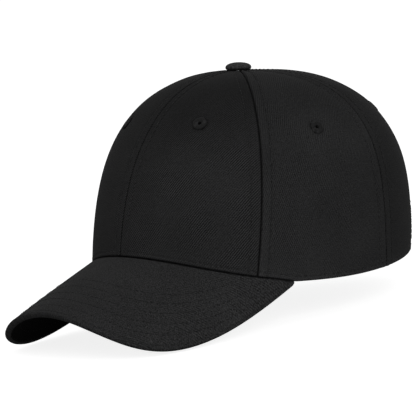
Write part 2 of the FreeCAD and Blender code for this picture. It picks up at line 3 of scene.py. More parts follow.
import bpy
import numpy as np
from mathutils import Matrix, Vector, noise
from mathutils.bvhtree import BVHTree


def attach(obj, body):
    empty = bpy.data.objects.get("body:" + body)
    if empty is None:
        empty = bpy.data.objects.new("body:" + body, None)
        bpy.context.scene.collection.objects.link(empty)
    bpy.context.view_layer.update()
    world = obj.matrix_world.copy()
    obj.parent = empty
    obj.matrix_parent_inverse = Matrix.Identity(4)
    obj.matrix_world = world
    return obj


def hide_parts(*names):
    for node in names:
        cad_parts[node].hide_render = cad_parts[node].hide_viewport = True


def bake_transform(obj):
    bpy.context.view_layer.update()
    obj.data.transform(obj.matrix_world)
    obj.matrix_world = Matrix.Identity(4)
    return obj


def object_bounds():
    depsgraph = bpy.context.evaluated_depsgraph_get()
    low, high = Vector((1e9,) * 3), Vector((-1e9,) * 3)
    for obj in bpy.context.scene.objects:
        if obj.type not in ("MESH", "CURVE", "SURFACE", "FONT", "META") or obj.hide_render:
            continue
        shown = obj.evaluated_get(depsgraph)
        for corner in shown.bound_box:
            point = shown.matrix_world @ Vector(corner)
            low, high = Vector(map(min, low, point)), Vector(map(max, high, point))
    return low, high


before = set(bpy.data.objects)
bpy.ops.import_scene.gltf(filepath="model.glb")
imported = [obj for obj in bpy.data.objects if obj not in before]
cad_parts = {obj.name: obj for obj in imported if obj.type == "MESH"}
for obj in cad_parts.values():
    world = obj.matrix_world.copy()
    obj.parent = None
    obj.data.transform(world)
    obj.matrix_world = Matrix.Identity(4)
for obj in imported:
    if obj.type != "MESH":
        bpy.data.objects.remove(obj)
CAD_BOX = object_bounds()

# Looks of a six-panel cap. Shapes are worked out in millimetres and become metres in make_object().
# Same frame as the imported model: origin at the head opening, +Z up, -Y to the brim's front,
# +X to the wearer's left. theta is the angle round the crown, 0 at the front; rise runs from 0 at
# the crown's widest level to 1 at its apex; depth is the distance inwards from the crown's surface.

MM = 0.001
STEP = 1e-3                # difference of theta or rise that slopes are worked out over
LOWEST_RISE = -0.35        # no edge of the crown lies lower

# ---- the crown's surface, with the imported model's driving dimensions ----
HALF_WIDTH = 86.0
FRONT_LENGTH = 104.7
BACK_LENGTH = 103.1
CROWN_HEIGHT = 110.0
CROWN_TILT = math.radians(7.2)
CROWN_LIFT = 16.2
APEX_SHIFT = -6.7
LEVEL_POWER = (2.36, 3.73, 2.67)
ROUND_POWER = (2.25, 2.40, 2.90)
WALL_LEAN = (0.105, 0.033, -0.044)
HEM_BACK = 5.3
HEM_SAG = 4.4
HEM_SKEW = 0.72
FRONT_SEAM = (0.0, 0.0)
SIDE_SEAM = (57.0, 61.6)
REAR_SEAM = (110.7, 111.8)
BACK_SEAM = (180.0, 180.0)
SEAM_SWING = 1.6
SEAM_GAP = 0.3

# ---- the brim ----
BRIM_END = math.radians(70.6)
BRIM_RAISE = 32.1
BRIM_SLOPE = math.tan(math.radians(17.3))
BRIM_SAG = 0.023
BRIM_REACH = 64.9
ARCH_DEPTH = 80.0
ARCH_HALF_WIDTH = 84.1
ARCH_TIGHTEN = 0.195
FRONT_HANDLE = 72.8
SIDE_HANDLE = 103.2
SIDE_FLARE = -4.1
BRIM_THICK = 3.2
BRIM_COVER = 0.5
BRIM_END_SHARE = 0.985
BRIM_TUCK = 1.8            # the covers run on this far under the crown's edge
BRIM_ROWS = (2.6, 9.0, 16.0, 23.0, 30.0, 37.0)

# ---- layers of the crown ----
PANEL_THICK = 1.0
BUCKRAM_DEPTH = 1.15
BUCKRAM_THICK = 0.8
BUCKRAM_TOP_RADIUS = 14.0
TAPE_DEPTH = 2.1
TAPE_THICK = 0.5
TAPE_HALF_WIDTH = 6.0
TAPE_TOP_RADIUS = 2.8
WEDGE_SINE = math.sin(math.radians(21.0))
ARCH_TAPE_DEPTH = 1.15
PADDING_DEPTH = 2.9
PADDING_THICK = 0.8
BAND_DEPTH = 3.85
BAND_THICK = 0.8
BAND_HEIGHT = 33.0
BAND_END = 145.0
PADDING_END = 139.0
STITCH_OFFSET = 6.0
STITCH_TOP_RADIUS = 9.0
HEM_ROW = 2.8
BUTTON_HOLE_RADIUS = 2.0

# ---- eyelets, rear opening and straps ----
EYELETS = ((33.0, 81.0), (86.0, 76.3), (150.0, 84.8))   # theta and level of each on one side
EYELET_HOLE = 2.5
EYELET_RADIUS = 4.35
EYELET_WELL = 1.05         # radius of the hole that the thread leaves open
EYELET_LIP = 0.72          # how far its ring stands off the cloth
EYELET_SKIN = 0.12
EYELET_WRAPS = 38
ARCH_HALF = 46.0
ARCH_HEIGHT = 54.0
ARCH_TAPE_WIDTH = 12.0
ARCH_TAPE_CLEAR = 0.15     # the binding starts this far outside the opening's edge
STRAP_LOW = 6.0
STRAP_HIGH = 32.0
STRAP_THICK = 1.4
STRAP_DEPTH = 1.9
HOOK_STRAP_DEPTH = -2.05
STRAP_CLIMB = 20.0
ANCHOR_X = 52.0
HINGE_X = 36.0
STRAP_TIP_X = 22.0
TIP_LENGTH = 7.0
TIP_ROUND = 0.93
STRAP_ROW = 2.2            # the straps' stitches are this far inside their edges
ROOT_STITCHES = (48.6, 50.4)
LOOP_TAPE_X = (25.0, -19.5)
HOOK_TAPE_X = (19.5, -8.0)
HOOK_PITCH = 1.35
ARCH_STITCHES = (2.6, 9.0)
BAND_STITCHES = (2.6, 30.4)

# ---- how cloth behaves at seams and stitches ----
SEAM_ROLL = 0.95           # radius with which a panel's edge turns in
HEM_ROLL = 1.15
SEAM_PAD = {"front": 0.12, "side": 0.55, "back": 0.25}   # how far folded allowances lift each panel
SOFTNESS = {"front": 0.25, "side": 0.9, "back": 1.0}     # how far each panel swells unevenly
TUCK_ENDS = ((0.055, 0.016), (0.030, 0.036))             # theta past the brim, rise above the hem
TUCK_DEPTH = 0.7
TUCK_WIDTH = 0.8
STITCH_SINK = 0.24         # depth of the groove that a row of stitches pulls
PUCKER = 0.17
STITCH_LENGTH = 2.5
STITCH_PITCH = 3.3
THREAD_RADIUS = 0.21
STITCH_SIDES = 6
STITCH_LIFT = np.array([-0.45, 0.35, 0.75, 0.35, -0.45])   # its middle's height along a stitch, in radii
STITCH_GIRTH = np.array([0.55, 1.0, 1.08, 1.0, 0.55])      # its thickness along it, in radii
DROP_HEIGHT = 4.0          # stitches are looked for this far above and below the cloth
DRILL_LENGTH = 12.0
HANDS = ("left", "right")


# ======== surfaces ========

def mix(theta, front_side_back):
    """A value that goes smoothly from its front figure, by the side figure, to its back one."""
    front, side, back = front_side_back
    c = np.cos(theta)
    return side + (front - back) / 2 * c + ((front + back) / 2 - side) * c * c


def ease(share):
    """0 to 1 with a level start and end."""
    share = np.clip(share, 0, 1)
    return share * share * (3 - 2 * share)


def level_of(rise):
    """Height of a rise as a share of the crown's height."""
    return np.where(rise > 0, np.sin(np.minimum(rise, 1) * np.pi / 2), rise * np.pi / 2)


def spread(theta, rise):
    """How far out the crown stands at a rise, as a share of its widest level."""
    level = level_of(rise)
    rounded = np.maximum(1 - np.maximum(level, 0) ** mix(theta, LEVEL_POWER), 0)
    return rounded ** (1 / mix(theta, ROUND_POWER)) * (1 - mix(theta, WALL_LEAN) * level)


def crown_point(theta, rise):
    """Points of the crown's outer surface, in millimetres, with its backward tilt."""
    theta, rise = np.broadcast_arrays(np.asarray(theta, float), np.asarray(rise, float))
    level = level_of(rise)
    share = spread(theta, rise)
    middle = (FRONT_LENGTH + BACK_LENGTH) / 2
    offset = (BACK_LENGTH - FRONT_LENGTH) / 2
    c = np.cos(theta)
    y = (offset * c * c - middle * c) * share + APEX_SHIFT * np.maximum(level, 0) ** 2
    z = CROWN_HEIGHT * level
    sine, cosine = math.sin(CROWN_TILT), math.cos(CROWN_TILT)
    x = HALF_WIDTH * np.sin(theta) * share
    return np.stack([x, y * cosine + z * sine, CROWN_LIFT + z * cosine - y * sine], -1)


def unit(vectors):
    return vectors / np.maximum(np.linalg.norm(vectors, axis=-1, keepdims=True), 1e-9)


def crown_normal(theta, rise):
    rise = np.minimum(rise, 1 - 2 * STEP)
    around = crown_point(theta + STEP, rise) - crown_point(theta - STEP, rise)
    upwards = crown_point(theta, rise + STEP) - crown_point(theta, rise - STEP)
    return unit(np.cross(around, upwards))


def layer_point(theta, rise, depth):
    return crown_point(theta, rise) - crown_normal(theta, rise) * np.asarray(depth)[..., None]


def layer_path(theta, rise, depth=0.0):
    """Points of a layer and the crown's outward normals there."""
    return layer_point(theta, rise, depth), crown_normal(theta, rise)


def bisect(test, low, high, shape, steps=34):
    """Elementwise, the value between low and high where test turns true."""
    low, high = np.full(shape, float(low)), np.full(shape, float(high))
    for _ in range(steps):
        middle = (low + high) / 2
        hit = test(middle)
        high = np.where(hit, middle, high)
        low = np.where(hit, low, middle)
    return (low + high) / 2


def rise_at_height(theta, height):
    theta, height = np.broadcast_arrays(np.asarray(theta, float), np.asarray(height, float))
    return bisect(lambda rise: crown_point(theta, rise)[..., 2] > height, LOWEST_RISE, 0.95, theta.shape)


APEX = crown_point(0, 1)


def plan_radius(theta, rise):
    away = crown_point(theta, rise) - APEX
    return np.hypot(away[..., 0], away[..., 1])


def rise_at_radius(theta, radius):
    theta = np.asarray(theta, float)
    return bisect(lambda rise: plan_radius(theta, rise) < radius, 0.5, 1.0, theta.shape)


def brim_height(x, y):
    """Height of the brim's top surface: an arch that slopes down and sags towards the front."""
    forward = -FRONT_LENGTH - y
    share = forward / BRIM_REACH
    arch = ARCH_DEPTH * (1 - np.sqrt(np.maximum(1 - (x / ARCH_HALF_WIDTH) ** 2, 0)))
    drop = BRIM_SLOPE * forward + BRIM_SAG * forward * np.abs(share)
    return BRIM_RAISE - drop - arch * (1 + ARCH_TIGHTEN * share)


def brim_normal(x, y):
    step = 0.01
    slope_x = (brim_height(x + step, y) - brim_height(x - step, y)) / (2 * step)
    slope_y = (brim_height(x, y + step) - brim_height(x, y - step)) / (2 * step)
    return unit(np.stack([-slope_x, -slope_y, np.ones_like(slope_x)], -1))


def brim_surface(plan):
    """Points and normals of the brim's top over plan points."""
    x, y = plan[..., 0], plan[..., 1]
    return np.stack([x, y, brim_height(x, y)], -1), brim_normal(x, y)


def seam_rise(theta):
    """Rise at which the crown meets the brim."""
    rise = np.zeros_like(np.asarray(theta, float))
    for _ in range(6):
        point = crown_point(theta, rise)
        rise = rise_at_height(theta, brim_height(point[..., 0], point[..., 1]))
    return rise


BRIM_END_POINT = crown_point(BRIM_END, seam_rise(BRIM_END))
FRONT_Y = float(crown_point(0, seam_rise(0))[1])


def lower_edge(theta):
    """Rise of the crown's lower edge: on the brim in front, then a gently sagging hem."""
    away = np.abs(np.arctan2(np.sin(theta), np.cos(theta)))
    on_brim = seam_rise(np.minimum(away, BRIM_END))
    share = np.clip((away - BRIM_END) / (np.pi - BRIM_END), 0, 1)
    level = BRIM_END_POINT[2] + (HEM_BACK - BRIM_END_POINT[2]) * ease(share)
    along = share * (1 + HEM_SKEW * (1 - share))
    hem = rise_at_height(away, level - HEM_SAG * np.sin(np.pi * along))
    return np.where(away <= BRIM_END, on_brim, hem)


def seam_theta(seam, rise):
    base, apex = seam
    share = 1 - (1 - level_of(np.minimum(rise, 1))) ** SEAM_SWING
    return np.radians(base + (apex - base) * share)


def rear_place(x, z):
    """theta and rise of the point of the crown's back at x and z."""
    x, z = np.broadcast_arrays(np.asarray(x, float), np.asarray(z, float))
    theta = np.full(x.shape, np.pi)
    for _ in range(6):
        rise = rise_at_height(theta, z)
        theta = np.pi - np.arcsin(x / (HALF_WIDTH * spread(theta, rise)))
    return theta, rise


def brim_outline(side):
    """Outer edge of the brim in plan, for side from -1 at one end to 1 at the other."""
    u = np.abs(side)
    weights = ((1 - u) ** 3, 3 * u * (1 - u) ** 2, 3 * u * u * (1 - u), u ** 3)
    end_x, end_y = BRIM_END_POINT[0], BRIM_END_POINT[1]
    across = (0, FRONT_HANDLE, end_x + SIDE_FLARE, end_x)
    along = (FRONT_Y - BRIM_REACH, FRONT_Y - BRIM_REACH, end_y - SIDE_HANDLE, end_y)
    x = sum(w * a for w, a in zip(weights, across))
    y = sum(w * a for w, a in zip(weights, along))
    return np.stack([np.copysign(x, side), y], -1)


def brim_inner(side):
    """The brim's inner edge in plan, where it meets the crown."""
    theta = np.asarray(side) * BRIM_END
    return crown_point(theta, seam_rise(theta))[..., :2]


def brim_place(side, distance):
    """Plan point of the brim at a plan distance inside its outer edge."""
    inner, outer = brim_inner(side), brim_outline(side)
    length = np.linalg.norm(outer - inner, axis=-1)
    share = np.minimum(distance / np.maximum(length, 1e-6), 1.3)[..., None]
    return outer + (inner - outer) * share


def brim_length(side):
    return np.linalg.norm(brim_outline(side) - brim_inner(side), axis=-1)


# ======== small tools ========

def wave_noise(points, scale, octaves=1):
    """Smooth noise from -1 to 1 at each point, with features about scale millimetres wide."""
    flat = np.asarray(points).reshape(-1, 3) / scale
    values = np.array([noise.noise(Vector(p)) for p in flat])
    if octaves > 1:
        values = values + 0.5 * np.array([noise.noise(Vector(p * 2.3)) for p in flat])
    return values.reshape(np.shape(points)[:-1])


def rolled(distance, radius):
    """Depth of a quarter-round edge at a distance from that edge."""
    near = np.clip(1 - distance / radius, 0, 1)
    return radius * (1 - np.sqrt(1 - near ** 2))


def groove(distance, at, width=0.6):
    return np.exp(-((distance - at) / width) ** 2)


def run_length(points, axis):
    """Distance along a grid's lines, from their start."""
    steps = np.linalg.norm(np.diff(points, axis=axis), axis=-1)
    start = np.zeros_like(np.take(steps, [0], axis=axis))
    return np.concatenate([start, np.cumsum(steps, axis=axis)], axis=axis)


def inward(run, axis):
    """Distance from the nearer end of each of a grid's lines."""
    return np.minimum(run, np.take(run, [-1], axis=axis) - run)


def runs(places):
    """A sheet's points on the crown's surface, and the distances along and up its grid."""
    points = crown_point(*places)
    return points, run_length(points, 0), run_length(points, 1)


def mirrored(points, mirror):
    return points * (-1, 1, 1) if mirror else points


def graded(total, near, step):
    """Positions from 0 to total: the fine ones in near, then even steps."""
    rest = total - near[-1]
    count = max(int(round(rest / step)), 2)
    return np.concatenate([near, near[-1] + rest * np.arange(1, count + 1) / count])


def write_map(mesh, name, values):
    """A map on a mesh from two numbers per point."""
    corner = np.zeros(len(mesh.loops), int)
    mesh.loops.foreach_get("vertex_index", corner)
    layer = mesh.uv_layers.new(name=name)
    layer.data.foreach_set("uv", values[corner].astype(np.float32).ravel())


def make_object(name, points, faces, uv=None):
    """A mesh object; points in millimetres, uv a cloth coordinate in millimetres per point."""
    mesh = bpy.data.meshes.new(name)
    mesh.from_pydata((np.asarray(points).reshape(-1, 3) * MM).tolist(), [], faces)
    if uv is not None:
        write_map(mesh, "cloth", np.asarray(uv).reshape(-1, 2))
    mesh.polygons.foreach_set("use_smooth", [True] * len(mesh.polygons))
    mesh.validate()
    thing = bpy.data.objects.new(name, mesh)
    bpy.context.scene.collection.objects.link(thing)
    return thing


def grid_faces(columns, rows, first=0, flip=False):
    i, j = np.meshgrid(np.arange(columns - 1), np.arange(rows - 1), indexing="ij")
    a = (first + i * rows + j).ravel()
    quads = np.stack([a, a + rows, a + rows + 1, a + 1], -1)
    return (quads[:, ::-1] if flip else quads).tolist()


def rim_faces(columns, rows):
    """Faces that close the rim between an outer grid and the inner grid stored after it."""
    top = columns * rows
    low = [i * rows for i in range(columns)]
    right = [(columns - 1) * rows + j for j in range(rows)]
    high = [i * rows + rows - 1 for i in range(columns - 1, -1, -1)]
    left = [j for j in range(rows - 1, -1, -1)]
    loop = low + right[1:] + high[1:] + left[1:]
    return [[a, a + top, b + top, b] for a, b in zip(loop, loop[1:])]


def tube_faces(first, rings, sides):
    """Faces of a closed tube whose rings of points start at the point numbered first."""
    last = first + (rings - 1) * sides
    faces = [[a + b, a + (b + 1) % sides, a + sides + (b + 1) % sides, a + sides + b]
             for a in range(first, last, sides) for b in range(sides)]
    return faces + [list(range(first + sides - 1, first - 1, -1)), list(range(last, last + sides))]


def sheet_object(name, outer, inner, uv=None, mirror=False):
    """A closed sheet between two grids; mirror carries it to the wearer's other side."""
    columns, rows = outer.shape[:2]
    points = mirrored(np.concatenate([outer.reshape(-1, 3), inner.reshape(-1, 3)]), mirror)
    faces = grid_faces(columns, rows) + grid_faces(columns, rows, columns * rows, flip=True)
    faces += rim_faces(columns, rows)
    if mirror:
        faces = [face[::-1] for face in faces]
    if uv is not None:
        uv = np.concatenate([uv.reshape(-1, 2)] * 2) * (-1 if mirror else 1, 1)
    return make_object(name, points, faces, uv)


def layered(name, places, outer, inner, uv=None, mirror=False):
    """A closed sheet between two depths under the crown's surface."""
    return sheet_object(name, layer_point(*places, outer), layer_point(*places, inner), uv, mirror)


def mark_edges(thing, from_seam, from_hem):
    """A second map on a panel: millimetres from its first seam and from its hem."""
    values = np.stack([from_seam.ravel(), from_hem.ravel()], -1)
    write_map(thing.data, "edges", np.concatenate([values, values]))


def dress(thing, material, body="cap", replaces=()):
    """Gives a piece its material, the CAD nodes it stands for and the body it rides on."""
    thing.data.materials.clear()
    thing.data.materials.append(material)
    if replaces:
        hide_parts(*replaces)
    if body:
        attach(thing, body)
    return thing


def cut_hole(thing, place):
    """Cuts an eyelet's round hole through a piece along the z axis of place."""
    bpy.ops.mesh.primitive_cylinder_add(vertices=28, radius=EYELET_HOLE * MM, depth=DRILL_LENGTH * MM)
    drill = bpy.context.object
    drill.matrix_world = place
    modifier = thing.modifiers.new("hole", "BOOLEAN")
    modifier.object = drill
    modifier.operation = "DIFFERENCE"
    modifier.solver = "EXACT"
    bpy.context.view_layer.objects.active = thing
    bpy.ops.object.modifier_apply(modifier="hole")
    bpy.data.objects.remove(drill)


class Skin:
    """Finished cloth surfaces that stitches are laid on."""

    def __init__(self, *things):
        points, faces = [], []
        for thing in things:
            first = len(points)
            points += [v.co / MM for v in thing.data.vertices]
            faces += [[first + i for i in p.vertices] for p in thing.data.polygons]
        self.tree = BVHTree.FromPolygons(points, faces)

    def drop(self, point, normal):
        """The point's place on the cloth when it is pushed against the cloth along -normal."""
        start = Vector(point + normal * DROP_HEIGHT)
        hit = self.tree.ray_cast(start, Vector(-normal), 3 * DROP_HEIGHT)[0]
        return point if hit is None else np.array(hit)


def sampled(values, run, along):
    """Values given at the distances run, read off at the distances along."""
    return np.stack([np.interp(along, run, values[:, axis]) for axis in range(3)], -1)


def sew(name, rows, skin):
    """Rows of separate stitches; each row is (path points, outward normals) in millimetres."""
    turn = np.arange(STITCH_SIDES) * 2 * np.pi / STITCH_SIDES
    cosine, sine = np.cos(turn)[:, None], np.sin(turn)[:, None]
    girth = THREAD_RADIUS * STITCH_GIRTH[:, None, None]
    points, faces = [], []
    for path, normals in rows:
        run = run_length(path, 0)
        count = int((run[-1] - STITCH_LENGTH) / STITCH_PITCH) + 1
        start = (run[-1] - (count - 1) * STITCH_PITCH - STITCH_LENGTH) / 2
        for k in range(count):
            along = start + k * STITCH_PITCH + STITCH_LENGTH * np.linspace(0, 1, len(STITCH_LIFT))
            normal = unit(sampled(normals, run, along))
            place = np.array([skin.drop(p, n) for p, n in zip(sampled(path, run, along), normal)])
            side = unit(np.cross(unit(np.gradient(place, axis=0)), normal))
            centre = place + normal * THREAD_RADIUS * STITCH_LIFT[:, None]
            ring = side[:, None] * cosine + normal[:, None] * sine
            faces += tube_faces(len(points), len(STITCH_LIFT), STITCH_SIDES)
            points += (centre[:, None] + ring * girth).reshape(-1, 3).tolist()
    return make_object(name, np.array(points), faces)


# ======== materials ========

class Value:
    """One number of a node tree; arithmetic on it adds the nodes that work it out."""

    def __init__(self, tree, socket):
        self.tree = tree
        self.socket = socket

    def math(self, operation, *others):
        node = self.tree.nodes.new("ShaderNodeMath")
        node.operation = operation
        for slot, item in zip(node.inputs, (self, *others)):
            feed(self.tree, slot, item)
        return Value(self.tree, node.outputs[0])

    def __add__(self, other):
        return self.math("ADD", other)

    def __sub__(self, other):
        return self.math("SUBTRACT", other)

    def __mul__(self, other):
        return self.math("MULTIPLY", other)

    def ramp(self, low, high, out_low=0.0, out_high=1.0):
        """Follows the value from low to high with a number from out_low to out_high."""
        node = self.tree.nodes.new("ShaderNodeMapRange")
        ends = {"Value": self, "From Min": low, "From Max": high, "To Min": out_low, "To Max": out_high}
        return Value(self.tree, feed_all(self.tree, node, ends).outputs["Result"])

    def wave(self, pitch, shift=0.0):
        """A sine from 0 to 1 that repeats every pitch."""
        return (self * (2 * math.pi / pitch) + shift).math("SINE") * 0.5 + 0.5


def feed(tree, slot, item):
    """Links a value to an input, or sets the input to a plain number or colour."""
    if isinstance(item, Value):
        tree.links.new(item.socket, slot)
    else:
        slot.default_value = item


def feed_all(tree, node, inputs):
    for key, item in inputs.items():
        feed(tree, node.inputs[key], item)
    return node


class Graph:
    """Short names for building one material's nodes."""

    def __init__(self, name):
        self.material = bpy.data.materials.new(name)
        self.material.use_nodes = True
        self.tree = self.material.node_tree
        self.shader = self.tree.nodes["Principled BSDF"]

    def node(self, kind, output, **settings):
        """The named output of a new node."""
        node = self.tree.nodes.new("ShaderNode" + kind)
        for key, item in settings.items():
            setattr(node, key, item)
        return Value(self.tree, node.outputs[output])

    def vector(self, operation, first, second):
        node = self.tree.nodes.new("ShaderNodeVectorMath")
        node.operation = operation
        feed(self.tree, node.inputs[0], first)
        feed(self.tree, node.inputs["Scale" if operation == "SCALE" else 1], second)
        return Value(self.tree, node.outputs[0])

    def noise(self, vector, scale, detail=2.0, roughness=0.55):
        node = self.tree.nodes.new("ShaderNodeTexNoise")
        inputs = {"Vector": vector, "Scale": scale, "Detail": detail, "Roughness": roughness}
        return Value(self.tree, feed_all(self.tree, node, inputs).outputs["Fac"])

    def cloth(self):
        return self.node("UVMap", "UV", uv_map="cloth")

    def place(self):
        """The point's place in the row frame, in millimetres."""
        return self.vector("SCALE", self.node("TexCoord", "Object"), 1 / MM)

    def split(self, vector):
        node = self.tree.nodes.new("ShaderNodeSeparateXYZ")
        feed(self.tree, node.inputs[0], vector)
        return [Value(self.tree, output) for output in node.outputs]

    def rotated(self, vector, angle):
        """Coordinates along and across a direction at angle degrees to the cloth's first axis."""
        x, y, _ = self.split(vector)
        c, s = math.cos(math.radians(angle)), math.sin(math.radians(angle))
        return x * c + y * s, x * -s + y * c

    def painted_crevice_shade(self, reach, darkest):
        """Painted shade: a factor from ambient occlusion that darkens the colour, down to darkest, in folds
        and seams narrower than reach millimetres.
        """
        node = self.tree.nodes.new("ShaderNodeAmbientOcclusion")
        node.samples = 6
        node.inputs["Distance"].default_value = reach * MM
        return Value(self.tree, node.outputs["AO"]).ramp(0.42, 0.92, darkest, 1.0)

    def pressed(self, seam_gain, hem_gain):
        """Painted light: a factor that brightens the cloth on the pressed allowances beside a panel's first
        seam and along its hem, where more light falls.
        """
        from_seam, from_hem, _ = self.split(self.node("UVMap", "UV", uv_map="edges"))
        seam = from_seam.ramp(3.0, 7.5, seam_gain, 0.0) * from_hem.ramp(30.0, 75.0, 1.0, 0.0)
        return seam + from_hem.ramp(2.5, 6.0, hem_gain, 0.0) + 1.0

    def bump(self, height, strength, distance):
        node = self.tree.nodes.new("ShaderNodeBump")
        feed_all(self.tree, node, {"Height": height, "Strength": strength, "Distance": distance * MM})
        feed(self.tree, self.shader.inputs["Normal"], Value(self.tree, node.outputs["Normal"]))

    def finish(self, colour, tone, roughness=0.85, specular=0.15, sheen=0.0, metal=0.0):
        """Sets the surface: a colour scaled by a tone, and how it shines."""
        inputs = {"Base Color": self.vector("SCALE", colour, tone), "Roughness": roughness,
                  "Specular IOR Level": specular, "Sheen Weight": sheen, "Sheen Roughness": 0.45,
                  "Metallic": metal}
        feed_all(self.tree, self.shader, inputs)
        return self.material


def twill(name, colour, angle, pitch, wale=1.0, grain=1.0, sheen=0.02, pressed=None, painted_top_shade=1.0):
    """Cotton twill: diagonal wales broken into yarn floats, lint, and uneven dye, with painted shade in
    seams and folds. Its last argument is what is left of its tone high on the crown, a painted shade;
    pressed lifts the tone beside a panel's seam and hem, a painted light."""
    graph = Graph(name)
    cloth, place = graph.cloth(), graph.place()
    along, across = graph.rotated(cloth, angle)
    ridges = across.wave(pitch, graph.noise(cloth, 0.05) * 8.0)
    floats = (along + across * 0.5).wave(1.3)
    shown = graph.noise(cloth, 0.035, 1.0).ramp(0.40, 0.60, 0.30, 1.0)
    yarn = graph.noise(cloth, 1.5, 3.0, 0.75)
    mottle = graph.noise(cloth, 0.42, 2.0, 0.6)
    body = ridges * (floats * 0.3 + 0.7)
    weave = (body - 0.42) * (shown * wale)
    speckle = (yarn - 0.5) * (3.9 * grain)
    patches = (mottle - 0.5) * (0.55 * grain)
    cloud = (graph.noise(place, 0.03, 3.0) - 0.5) * 0.6
    lint = graph.noise(cloth, 0.7, 2.0, 0.6).ramp(0.66, 0.76, 0.0, 0.8 * grain)
    # painted shade: the tone is darkened in seams and folds
    tone = (weave + speckle + cloud + lint + patches + 1.0).math("MAXIMUM", 0.2) * graph.painted_crevice_shade(3.0, 0.22)
    # painted light beside the panel's first seam and its hem
    if pressed:
        tone = tone * graph.pressed(*pressed)
    # painted shade: the tone darkens towards the crown's top
    if painted_top_shade < 1:
        tone = tone * graph.split(place)[2].ramp(82.0, 118.0, 1.0, painted_top_shade)
    graph.bump(body + yarn * 0.8, 0.5, 0.14)
    return graph.finish(colour, tone, yarn.ramp(0.3, 0.7, 0.98, 0.86), 0.045, sheen)


def ribbed(name, colour, angle=0.0, sheen=0.03):
    """Narrow woven goods such as tape: fine ribs and a fuzzy yarn."""
    graph = Graph(name)
    cloth = graph.cloth()
    along, across = graph.rotated(cloth, angle)
    yarn = graph.noise(cloth, 2.2, 3.0, 0.65)
    body = along.wave(0.8) * 0.7 + across.wave(0.64, 1.3) * 0.3
    cloud = graph.noise(graph.place(), 0.06)
    graph.bump(body + yarn * 0.6, 0.6, 0.12)
    return graph.finish(colour, body * 0.5 + 0.3 + yarn * 0.6 + cloud * 0.3, 0.8, 0.08, sheen)


def open_weave(name, colour):
    """Buckram: a coarse, stiffened net with a dull glue shine."""
    graph = Graph(name)
    cloth = graph.cloth()
    along, across = graph.rotated(cloth, 0.0)
    net = along.wave(1.1).math("MAXIMUM", across.wave(1.25))
    yarn = graph.noise(cloth, 1.6, 2.0, 0.6)
    graph.bump(net, 0.7, 0.25)
    shade = net.math("POWER", 3.0) * 1.1 + yarn * 0.5
    return graph.finish(colour, shade, yarn.ramp(0.3, 0.7, 0.6, 0.85), 0.25, 0.05)


def spun(name, tone):
    """Sewing thread: twisted plies with a soft shine, some stitches catching more light."""
    graph = Graph(name)
    place = graph.place()
    x, y, z = graph.split(place)
    plies = (y * 1.3 + z * 1.7 + x).wave(0.55)
    fuzz = graph.noise(place, 1.4, 3.0, 0.7)
    caught = graph.noise(place, 0.30, 2.0, 0.7).ramp(0.5, 0.66, 0.0, 0.8)
    # painted shade: the thread is darkened in folds and where it sinks into the cloth
    shade = (plies * 0.4 + fuzz * 0.8 + caught + 0.2) * graph.painted_crevice_shade(2.0, 0.15)
    graph.bump(plies + fuzz, 0.5, 0.08)
    return graph.finish(near_black(tone), shade, 0.7, 0.10, 0.03)


def pile(name, colour, grain, depth):
    """Brushed loops, foam or felted goods: a fuzzy, pitted surface."""
    graph = Graph(name)
    place = graph.place()
    fuzz = graph.noise(place, grain, 4.0, 0.75)
    clumps = graph.noise(place, grain * 0.2)
    graph.bump(fuzz, 0.9, depth)
    return graph.finish(colour, fuzz * 1.4 + clumps * 0.6, 0.95, 0.1, 0.25)


def worn_metal(name, colour, roughness):
    """Pressed metal with draw marks, dull patches and scuffed edges."""
    graph = Graph(name)
    place = graph.place()
    marks = graph.noise(graph.vector("MULTIPLY", place, (0.6, 0.6, 6.0)), 1.2, 4.0, 0.6)
    patches = graph.noise(place, 0.5, 3.0)
    edges = graph.node("NewGeometry", "Pointiness").ramp(0.5, 0.6, 0.0, 0.35)
    graph.bump(marks, 0.25, 0.05)
    rough = patches.ramp(0.3, 0.7, roughness - 0.12, roughness + 0.15)
    return graph.finish(colour, marks * 0.35 + 0.6 + patches * 0.3 + edges, rough, 0.5, metal=1.0)


def moulded(name, colour):
    """Moulded sheet plastic with a fine grain and faint rub marks."""
    graph = Graph(name)
    place = graph.place()
    grain = graph.noise(place, 2.5, 3.0, 0.7)
    rubs = graph.noise(place, 0.12, 4.0)
    graph.bump(grain, 0.4, 0.06)
    return graph.finish(colour, grain * 0.3 + rubs * 0.4 + 0.6, rubs.ramp(0.3, 0.7, 0.45, 0.65), 0.4)


def near_black(tone):
    """Nearly neutral black; tone is its lightness, which differs between pieces of one cloth as painted
    light and shade.
    """
    return tone, tone, 1.017 * tone


# One black twill, given a different tone on each panel, the brim's top and the button: painted light and
# shade for how light falls on each.
CLOTH_FRONT = twill("twill_front", near_black(0.0192), 51.0, 1.24, wale=1.75, pressed=(0.0, 0.10), painted_top_shade=0.60)
CLOTH_SIDE = twill("twill_side", near_black(0.0210), 62.0, 1.15, wale=0.95, pressed=(0.13, 0.15), painted_top_shade=0.84)
CLOTH_BACK = twill("twill_back", near_black(0.0172), 55.0, 1.15, wale=0.8, pressed=(0.10, 0.30), painted_top_shade=0.9)
CLOTH_BRIM = twill("twill_brim", near_black(0.0222), 46.0, 1.05, wale=0.6, grain=1.4)
# painted shade: the under face is the same twill, darkened for the shadow under the brim
CLOTH_UNDER_SHADED = twill("twill_under_shaded", near_black(0.0035), 47.0, 1.3, wale=0.6, sheen=0.0)
CLOTH_BUTTON = twill("twill_button", near_black(0.034), 35.0, 1.2, wale=0.5, sheen=0.03)
BINDING = ribbed("binding_tape", (0.012, 0.012, 0.0125))
BAND_CLOTH = ribbed("sweatband_cloth", (0.014, 0.014, 0.0145), 45.0, sheen=0.04)
BUCKRAM = open_weave("buckram_net", (0.017, 0.017, 0.018))
THREAD = spun("sewing_thread", 0.024)
